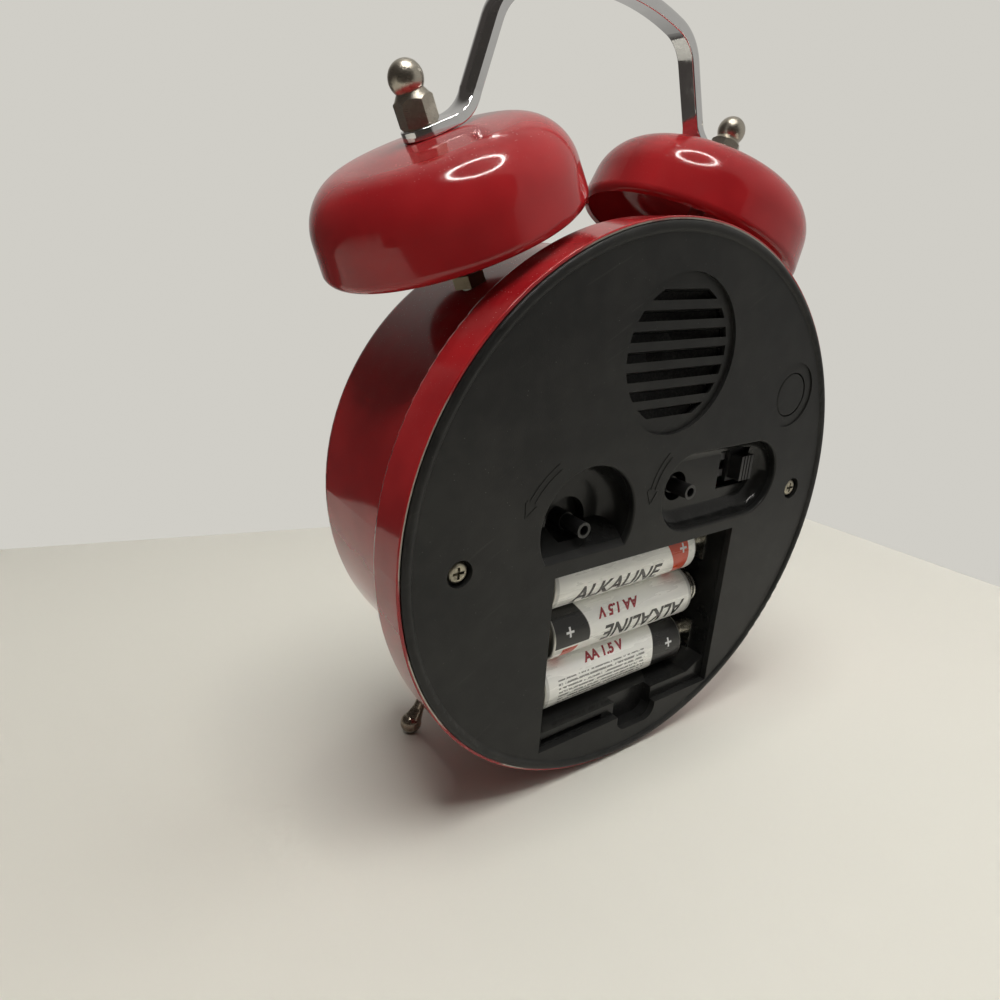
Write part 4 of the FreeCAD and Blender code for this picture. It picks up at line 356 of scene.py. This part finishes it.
def lacquer(name, colour):
    finish = Finish(name, colour, 0.22, Coat_Weight=0.4)
    cloud = finish.noise(0.4, 3)
    finish.set("Roughness", 0.2 + cloud.rise(0.4, 0.7) * 0.12)
    finish.set("Base Color", finish.mix(cloud.rise(0.4, 0.8) * 0.4, colour, tuple(c + 0.02 for c in colour)))
    finish.relief(finish.noise(1.2, 2), 0.006)
    return finish


def windings(name):
    finish = Finish(name, (0.52, 0.2, 0.08), 0.28, Metallic=0.8)
    x = finish.axes()[0]
    wraps = x * 5.0
    wrap = wraps.maths("FRACT", wraps)
    turns = wrap.rise(0.0, 0.5) * wrap.rise(1.0, 0.5)
    finish.set("Base Color", finish.mix(turns, (0.22, 0.07, 0.03), (0.6, 0.26, 0.1)))
    finish.set("Roughness", 0.26 + finish.noise(1.0, 2) * 0.14)
    finish.relief(turns, 0.08)
    return finish


def boardMask(name):
    finish = Finish(name, (0.02, 0.13, 0.05), 0.3, Coat_Weight=0.3)
    x, y, z = finish.axes()
    wander = z * 0.55 + finish.noise(0.12, 1) * 2
    tracks = wander.maths("FRACT", wander).below(0.3, 0.05)
    finish.set("Base Color", finish.mix(tracks * 0.6, (0.015, 0.1, 0.04), (0.06, 0.24, 0.1)))
    finish.set("Roughness", 0.28 + finish.noise(1.5, 2) * 0.14)
    finish.relief(tracks, 0.04)
    return finish


def paperCone(name):
    finish = Finish(name, (0.02, 0.02, 0.02), 0.75)
    fibre = finish.noise(1.6, 5, 0.7)
    finish.set("Base Color", finish.mix(fibre.rise(0.4, 0.7), (0.012, 0.012, 0.012), (0.05, 0.048, 0.045)))
    finish.set("Roughness", 0.66 + fibre * 0.2)
    finish.relief(fibre, 0.08)
    return finish


redEnamel("redEnamelBells").wear("bell_left", "bell_right")
# the drum's flange edge gets a band of bare steel, partly wear and partly a painted highlight
redEnamel("redEnamelDrum", bareRimHighlight=True).wear("case_drum")
coverPlastic("coverPlastic").wear("rear_cover", "push_button")
mouldedPlastic("leverPlastic", (0.014, 0.014, 0.014), 0.28).wear("switch_lever", "time_stem", "alarm_stem")
mouldedPlastic("blackParts", (0.02, 0.02, 0.022), 0.35).wear("board_components", "tact_switch")
mouldedPlastic("greyParts", (0.13, 0.13, 0.135), 0.45).wear(
    "movement_rear", "movement_front", "dial_frame", "switch_body")
mouldedPlastic("naturalPlastic", (0.62, 0.61, 0.57), 0.35).wear(
    "minute_wheel", "hour_wheel", "alarm_wheel", "dial_spacer")
chromePlate("chromeBar").wear("handle")
turnedMetal("satinNickel", (0.52, 0.48, 0.41), 0.27).wear("ball_nuts")
turnedMetal("footNickel", (0.36, 0.31, 0.25), 0.22).wear("front_feet", "foot_nuts")
turnedMetal("dullNuts", (0.17, 0.14, 0.1), 0.38).wear("stud_nuts")
turnedMetal("studSteel", (0.5, 0.49, 0.46), 0.3, (0, 1, 0)).wear(
    "bell_studs", "cover_brackets", "motor_stator", "second_wheel")
turnedMetal("screwPlate", (0.42, 0.39, 0.31), 0.36, (0, 1, 0), 0.9).wear("cover_screws", "board_screws")
turnedMetal("contactNickel", (0.62, 0.6, 0.55), 0.24, (1, 0, 0), 0.3).wear(
    "battery_plates", "battery_springs")
turnedMetal("brassParts", (0.68, 0.48, 0.2), 0.26, (0, 1, 0), 0.3).wear("movement_nut", "cannon_pinion")
turnedMetal("zincSheet", (0.4, 0.4, 0.4), 0.4, (1, 0, 0), 0.4).wear("speaker_frame")
mouldedPlastic("ferrite", (0.03, 0.03, 0.032), 0.6).wear("speaker_magnet")
paperCone("paperCone").wear("speaker_cone")
boardMask("boardMask").wear("circuit_board")
windings("coilWindings").wear("motor_coil")
dialPaper("dialPaper").wear("dial")
lensPlastic("lensPlastic").wear("lens")
lacquer("handBlack", (0.012, 0.012, 0.012)).wear("hour_hand", "minute_hand")
lacquer("handRed", (0.4, 0.015, 0.012)).wear("second_hand", "alarm_hand")
# For each cell: the way it lies, how much small print it has, and where its dark end begins.
for cellNode, cellSign, cellLined, cellDark in (
    ("battery_top", -1, 0.0, 30.0),
    ("battery_middle", 1, 0.0, -1.5),
    ("battery_bottom", -1, 0.85, -30.0),
):
    cellJacket(f"{cellNode}_jacket", cellNode, cellSign, cellLined, cellDark).wear(cellNode)
print("finishes made")


def addPiece(name, bm, body, finish, matrix=None):
    # takes a bmesh in case millimetres and leaves an object at the origin
    mesh = bpy.data.meshes.new(name)
    bm.transform(matrix or caseMatrix)
    bmesh.ops.recalc_face_normals(bm, faces=bm.faces)
    bm.to_mesh(mesh)
    bm.free()
    piece = bpy.data.objects.new(name, mesh)
    scene.collection.objects.link(piece)
    finish.wear(piece)
    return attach(piece, body)


dialPrintSize = {"thick": 0.05, "numeralRadius": 38.4, "numeralSize": 10.2, "tickOuter": 49.4,
                 "tickShort": 1.7, "tickLong": 3.4, "tickThin": 0.45, "tickWide": 1.35}


def frontOf(node):
    # depth of a node's foremost point
    return max(-(caseMatrix.inverted() @ vert.co).y for vert in nodes[node].data.vertices)


def textMesh(name, words, size, thick, bold=0.12):
    # flat lettering in the XY plane, centred on the origin
    text = bpy.data.curves.new(name, "FONT")
    text.body = words
    text.size = size
    text.extrude = thick / 2
    text.offset = bold
    holder = bpy.data.objects.new(name, text)
    scene.collection.objects.link(holder)
    bpy.context.view_layer.update()
    mesh = bpy.data.meshes.new_from_object(holder.evaluated_get(bpy.context.evaluated_depsgraph_get()))
    bpy.data.objects.remove(holder)
    spots = [vert.co for vert in mesh.vertices]
    low = Vector(min(spot[axis] for spot in spots) for axis in range(3))
    high = Vector(max(spot[axis] for spot in spots) for axis in range(3))
    mesh.transform(Matrix.Translation(-(low + high) / 2))
    return mesh


def dialPrint():
    d = dialPrintSize
    bm = bmesh.new()
    face = frontOf("dial")
    # turns the XY plane upright, onto the dial
    front = Matrix(((1, 0, 0, 0), (0, 0, -1, -face - d["thick"] / 2), (0, 1, 0, 0), (0, 0, 0, 1)))
    for hour in range(1, 13):
        mesh = textMesh(f"numeral{hour}", str(hour), d["numeralSize"], d["thick"])
        angle = radians(hour * 30)
        mesh.transform(front @ Matrix.Translation(Vector((sin(angle), cos(angle), 0)) * d["numeralRadius"]))
        bm.from_mesh(mesh)
        bpy.data.meshes.remove(mesh)
    for minute in range(60):
        long = minute % 5 == 0
        length = d["tickLong"] if long else d["tickShort"]
        width = d["tickWide"] if long else d["tickThin"]
        turn = Matrix.Rotation(radians(minute * 6), 4, "Y")
        place = Matrix.Translation((0, -face - d["thick"] / 2, d["tickOuter"] - length / 2))
        mark = Matrix.Diagonal((width, d["thick"], length, 1))
        bmesh.ops.create_cube(bm, size=1, matrix=turn @ place @ mark)
    return addPiece("dialPrint", bm, "case", lacquer("dialInk", (0.015, 0.015, 0.015)))


springSize = {"wire": 0.38, "turns": 5, "big": 4.6, "small": 3.2, "steps": 26, "section": 8}


def springCoils():
    # conical coils that press on the flat end of each cell
    d = springSize
    bm = bmesh.new()
    low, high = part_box("battery_springs")
    plates = {-1: low.x * 1000, 1: high.x * 1000}
    for node, sign in (("battery_top", 1), ("battery_middle", -1), ("battery_bottom", 1)):
        middle, half = cellPlace(node)
        start = plates[sign] - sign * d["wire"]
        reach = middle.x + sign * (half + d["wire"]) - start
        coil = bmesh.new()
        ring = bmesh.ops.create_circle(coil, segments=d["section"], radius=d["wire"], cap_ends=True,
                                       matrix=Matrix.Translation((start, middle.y, middle.z + d["big"]))
                                       @ Matrix.Rotation(pi / 2, 4, "X"))
        steps = d["steps"] * d["turns"]
        bmesh.ops.spin(coil, geom=ring["verts"] + coil.edges[:] + coil.faces[:],
                       cent=(start, middle.y, middle.z), axis=(1, 0, 0), dvec=(reach / steps, 0, 0),
                       angle=2 * pi * d["turns"], steps=steps, use_merge=False)
        for vert in coil.verts:
            share = min(max((vert.co.x - start) / reach, 0), 1)
            across = Vector((0, vert.co.y - middle.y, vert.co.z - middle.z))
            size = 1 + (d["small"] / d["big"] - 1) * share
            vert.co = Vector((vert.co.x, middle.y, middle.z)) + across * size
        turns = bpy.data.meshes.new("turns")
        coil.to_mesh(turns)
        coil.free()
        bm.from_mesh(turns)
        bpy.data.meshes.remove(turns)
    wire = turnedMetal("springWire", (0.6, 0.58, 0.54), 0.22, (1, 0, 0), 0.2)
    piece = addPiece("springCoils", bm, "case", wire)
    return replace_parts(piece, "battery_springs")


labelSize = {"words": "ALKALINE", "size": 6.4, "bold": 0.15, "code": "AA 1.5 V", "codeSize": 3.6,
             "thick": 0.03, "cell": 7.1, "lift": 0.03, "slice": 0.5, "slope": 0.22}


def wrapped(mesh, node, along, angle, over):
    # bends flat lettering round a cell, at a place along it and an angle up from its rear side
    d = labelSize
    middle, half = cellPlace(node)
    radius = d["cell"] + d["lift"]
    bm = bmesh.new()
    bm.from_mesh(mesh)
    for vert in bm.verts:
        vert.co.x += vert.co.y * d["slope"]
    high = max(vert.co.y for vert in bm.verts)
    for i in range(int(2 * high / d["slice"])):
        bmesh.ops.bisect_plane(bm, geom=bm.verts[:] + bm.edges[:] + bm.faces[:], plane_no=(0, 1, 0),
                               plane_co=(0, (i + 1) * d["slice"] - high, 0))
    for vert in bm.verts:
        x, up, out = vert.co
        # upside down on a cell that lies the other way
        side = -1 if over else 1
        turn = radians(angle) + side * up / radius
        reach = radius + out
        vert.co = Vector((middle.x + along - side * x, middle.y + cos(turn) * reach,
                          middle.z + sin(turn) * reach))
    return bm


def cellLabels():
    black = lacquer("labelBlack", (0.02, 0.02, 0.02))
    red = lacquer("labelRed", (0.3, 0.02, 0.03))
    d = labelSize
    for name, node, words, size, along, angle, over, ink in (
        ("topWords", "battery_top", d["words"], d["size"], 4.0, -20, False, black),
        ("middleWords", "battery_middle", d["words"], d["size"], -7.0, -12, True, black),
        ("middleCode", "battery_middle", d["code"], d["codeSize"], 2.0, 36, True, red),
        ("lowCode", "battery_bottom", d["code"], d["codeSize"], 4.0, 52, False, red),
    ):
        bm = wrapped(textMesh(name, words, size, d["thick"], d["bold"]), node, along, angle, over)
        addPiece(name, bm, "case", ink)


# "rounds" gives for each arrow the X and Z of its middle, its radius, and its first and last angle.
arrowSize = {"proud": 0.14, "line": 0.32, "band": 1.5, "headLong": 3.6, "headWide": 3.4, "headLean": 27,
             "steps": 20, "rounds": ((19.85, 0.75, 19.6, 60, 31), (-13.1, 4.7, 14.2, 50, 12))}


def settingArrows():
    # curved arrows in outline, moulded beside each setting well
    d = arrowSize
    bm = bmesh.new()
    for x, z, radius, first, last in d["rounds"]:
        start = radians(first)
        turn = radians(last - first)
        for edge in (radius - d["band"] / 2, radius + d["band"] / 2):
            spot = Vector((x + cos(start) * edge, 0, z + sin(start) * edge))
            made = bmesh.ops.create_grid(bm, x_segments=1, y_segments=1, size=0.5,
                                         matrix=Matrix.Translation(spot) @ Matrix.Rotation(-start, 4, "Y")
                                         @ Matrix.Diagonal((d["line"], d["proud"] * 2, 1, 1)))
            edges = list({e for v in made["verts"] for e in v.link_edges})
            faces = list({f for v in made["verts"] for f in v.link_faces})
            bmesh.ops.spin(bm, geom=made["verts"] + edges + faces, cent=(x, 0, z), axis=(0, -1, 0),
                           angle=turn, steps=d["steps"])
        end = start + turn
        middle = end + turn / abs(turn) * d["headLong"] / 2 / radius
        for side in (-1, 1):
            # the two slanting lines of the head
            lean = side * radians(d["headLean"])
            place = Matrix.Translation((x + cos(middle) * radius, 0, z + sin(middle) * radius))
            aim = Matrix.Rotation(-middle, 4, "Y") @ Matrix.Translation((side * d["headWide"] / 4, 0, 0))
            bmesh.ops.create_cube(bm, size=1, matrix=place @ aim @ Matrix.Rotation(lean, 4, "Y")
                                  @ Matrix.Diagonal((d["line"], d["proud"] * 2, d["headLong"], 1)))
        place = Matrix.Translation((x + cos(end) * radius, 0, z + sin(end) * radius))
        foot = Matrix.Diagonal((d["headWide"], d["proud"] * 2, d["line"], 1))
        bmesh.ops.create_cube(bm, size=1, matrix=place @ Matrix.Rotation(-end, 4, "Y") @ foot)
    return addPiece("settingArrows", bm, "case", coverPlastic("arrowPlastic"))


# "middle" and "long" are shares of the hand's reach.
lumeSize = {"hour": {"reach": 22.5, "wide": 1.6}, "minute": {"reach": 34.6, "wide": 1.2}, "thick": 0.1,
            "middle": 0.64, "long": 0.72, "edge": 0.03}
shownTime = {"hour": 10, "minute": 9}


def handLume():
    d = lumeSize
    hourTurn = shownTime["hour"] * 30 + shownTime["minute"] * 0.5
    for hand, angle in (("hour", hourTurn), ("minute", shownTime["minute"] * 6)):
        wide, reach = d[hand]["wide"], d[hand]["reach"]
        bm = bmesh.new()
        front = frontOf(f"{hand}_hand")
        place = Matrix.Translation((0, -front - d["thick"] / 2, reach * d["middle"]))
        bmesh.ops.create_cube(bm, size=1, matrix=place
                              @ Matrix.Diagonal((wide, d["thick"], reach * d["long"], 1)))
        bmesh.ops.bevel(bm, geom=[e for e in bm.edges], offset=d["edge"], affect="EDGES", segments=2,
                        profile=0.5, material=-1)
        turned = caseMatrix @ Matrix.Rotation(radians(angle), 4, "Y")
        paint = mouldedPlastic(f"{hand}LumePaint", (0.55, 0.66, 0.42), 0.6)
        addPiece(f"{hand}Lume", bm, hand, paint, turned)


dialPrint()
springCoils()
cellLabels()
settingArrows()
handLume()
print("pieces made")

stageLook = {"floor": (0.63, 0.617, 0.557), "wall": (0.63, 0.615, 0.57), "pale": (0.4, 0.39, 0.365),
             "dim": (0.06, 0.053, 0.048), "corner": (-0.2425, -0.1225), "reach": 3.0,
             "along": (0.905, -0.4255), "across": (0.241, 0.97)}


def tableTop():
    # a pale table with its far corner behind the clock
    bm = bmesh.new()
    bmesh.ops.create_grid(bm, x_segments=1, y_segments=1, size=0.5)
    bmesh.ops.translate(bm, verts=bm.verts, vec=(0.5, 0.5, 0))
    along = Vector(stageLook["along"]) * stageLook["reach"]
    across = Vector(stageLook["across"]) * stageLook["reach"]
    x, y = stageLook["corner"]
    skew = Matrix(((along.x, across.x, 0, x), (along.y, across.y, 0, y), (0, 0, 1, 0), (0, 0, 0, 1)))
    bmesh.ops.transform(bm, verts=bm.verts, matrix=skew)
    mesh = bpy.data.meshes.new("tableTop")
    bm.to_mesh(mesh)
    bm.free()
    table = bpy.data.objects.new("tableTop", mesh)
    scene.collection.objects.link(table)
    finish = Finish("paleTable", stageLook["floor"], 0.55)
    finish.wear(table)


ringLook = {"at": (0.11, 0.216, 0.84), "towards": (0, 0, 0.12), "radius": 0.2, "tube": 0.0115,
            "strength": 44.0, "warm": (1.0, 0.97, 0.92)}


def ringLamp():
    # the studio's ring lamp, which shows as a thin bright loop on the bells
    d = ringLook
    bm = bmesh.new()
    section = bmesh.ops.create_circle(bm, segments=8, radius=d["tube"],
                                      matrix=Matrix.Translation((d["radius"], 0, 0))
                                      @ Matrix.Rotation(pi / 2, 4, "X"))
    bmesh.ops.spin(bm, geom=section["verts"] + bm.edges[:], cent=(0, 0, 0), axis=(0, 0, 1), angle=2 * pi,
                   steps=64, use_merge=True)
    aim = (Vector(d["towards"]) - Vector(d["at"])).to_track_quat("-Z", "Y").to_matrix().to_4x4()
    bm.transform(Matrix.Translation(d["at"]) @ aim)
    bmesh.ops.recalc_face_normals(bm, faces=bm.faces)
    mesh = bpy.data.meshes.new("ringLamp")
    bm.to_mesh(mesh)
    bm.free()
    ring = bpy.data.objects.new("ringLamp", mesh)
    scene.collection.objects.link(ring)
    ring.visible_camera = False
    glow = Finish("ringGlow", (0.0, 0.0, 0.0), 1.0, Emission_Color=(*d["warm"], 1),
                  Emission_Strength=d["strength"])
    glow.wear(ring)


def areaLight(name, at, towards, size, power):
    light = bpy.data.lights.new(name, "AREA")
    light.size = size
    light.energy = power
    lamp = bpy.data.objects.new(name, light)
    scene.collection.objects.link(lamp)
    lamp.location = at
    lamp.rotation_euler = (Vector(towards) - Vector(at)).to_track_quat("-Z", "Y").to_euler()
    return lamp


cardLook = {"colour": (0.06, 0.054, 0.05), "wide": 0.5, "high": 0.4, "middle": 0.2, "behind": 0.02}


def dimCard():
    # a dark card at the camera's back, seen only in reflections, as dark clothes would be
    bm = bmesh.new()
    bmesh.ops.create_grid(bm, x_segments=1, y_segments=1, size=0.5)
    back = caseTurn @ Vector(cameraLook["right"]).cross(Vector(cameraLook["up"]))
    flat = Vector((back.x, back.y, 0)).normalized()
    place = casePoint(*cameraLook["at"]) + flat * cardLook["behind"]
    turn = flat.to_track_quat("Z", "Y").to_matrix().to_4x4()
    bm.transform(Matrix.Translation((place.x, place.y, cardLook["middle"])) @ turn
                 @ Matrix.Diagonal((cardLook["wide"], cardLook["high"], 1, 1)))
    mesh = bpy.data.meshes.new("dimCard")
    bm.to_mesh(mesh)
    bm.free()
    card = bpy.data.objects.new("dimCard", mesh)
    scene.collection.objects.link(card)
    card.visible_camera = False
    card.visible_diffuse = False
    card.visible_shadow = False
    Finish("dimCloth", cardLook["colour"], 0.9).wear(card)


# "sheen" is how much of the wall's colour metal mirrors on the pale side.
roomLight = {"paleSide": (-0.9, -0.1, 0.42), "from": -0.1, "to": 0.5, "sheen": 0.25}
lampLook = {"keyTowards": (0, 0, 0.1), "keySize": 0.3, "keyPower": 2.2,
            "windowAt": (-0.75, 0.2, 0.55), "windowTowards": (-0.15, 0.02, 0), "windowSize": 1.0,
            "windowPower": 4.3}


def studio():
    # a room that is pale behind and above the clock and dim where the camera stands
    world = bpy.data.worlds.new("studio")
    world.use_nodes = True
    scene.world = world
    sheet = NodeSheet(world.node_tree)
    way = sheet.node("ShaderNodeTexCoord", output="Generated")
    facing = sheet.node("ShaderNodeVectorMath", {"operation": "DOT_PRODUCT"},
                        {0: way, 1: Vector(roomLight["paleSide"]).normalized()}, "Value")
    side = facing.rise(roomLight["from"], roomLight["to"])
    room = sheet.mix(side, stageLook["dim"], stageLook["pale"])
    camera, glossy, through = [sheet.node("ShaderNodeLightPath", output=f"Is {kind} Ray")
                               for kind in ("Camera", "Glossy", "Transmission")]
    seen = camera + glossy * side * roomLight["sheen"] + through
    back = world.node_tree.nodes["Background"]
    sheet.plug(back.inputs["Color"], sheet.mix(seen, room, stageLook["wall"]))
    d = lampLook
    key = areaLight("keyLight", ringLook["at"], d["keyTowards"], d["keySize"], d["keyPower"])
    key.visible_glossy = False
    window = areaLight("windowLight", d["windowAt"], d["windowTowards"], d["windowSize"], d["windowPower"])
    window.visible_glossy = False


cameraLook = {"at": (128.99, -112.56, 67.6), "right": (-0.81343209, 0.57872199, 0.05838747),
              "up": (-0.1656143, -0.32666217, 0.93051799), "lens": 27.427}


def addCamera():
    data = bpy.data.cameras.new("camera")
    data.sensor_width = 36
    data.lens = cameraLook["lens"]
    data.clip_start = 0.01
    camera = bpy.data.objects.new("camera", data)
    scene.collection.objects.link(camera)
    right = caseTurn @ Vector(cameraLook["right"])
    up = caseTurn @ Vector(cameraLook["up"])
    turn = Matrix((right, up, right.cross(up))).transposed()
    camera.matrix_world = Matrix.Translation(casePoint(*cameraLook["at"])) @ turn.to_4x4()
    scene.camera = camera


tableTop()
ringLamp()
dimCard()
studio()
addCamera()
scene.view_settings.view_transform = "Standard"
print("stage, light and camera set")
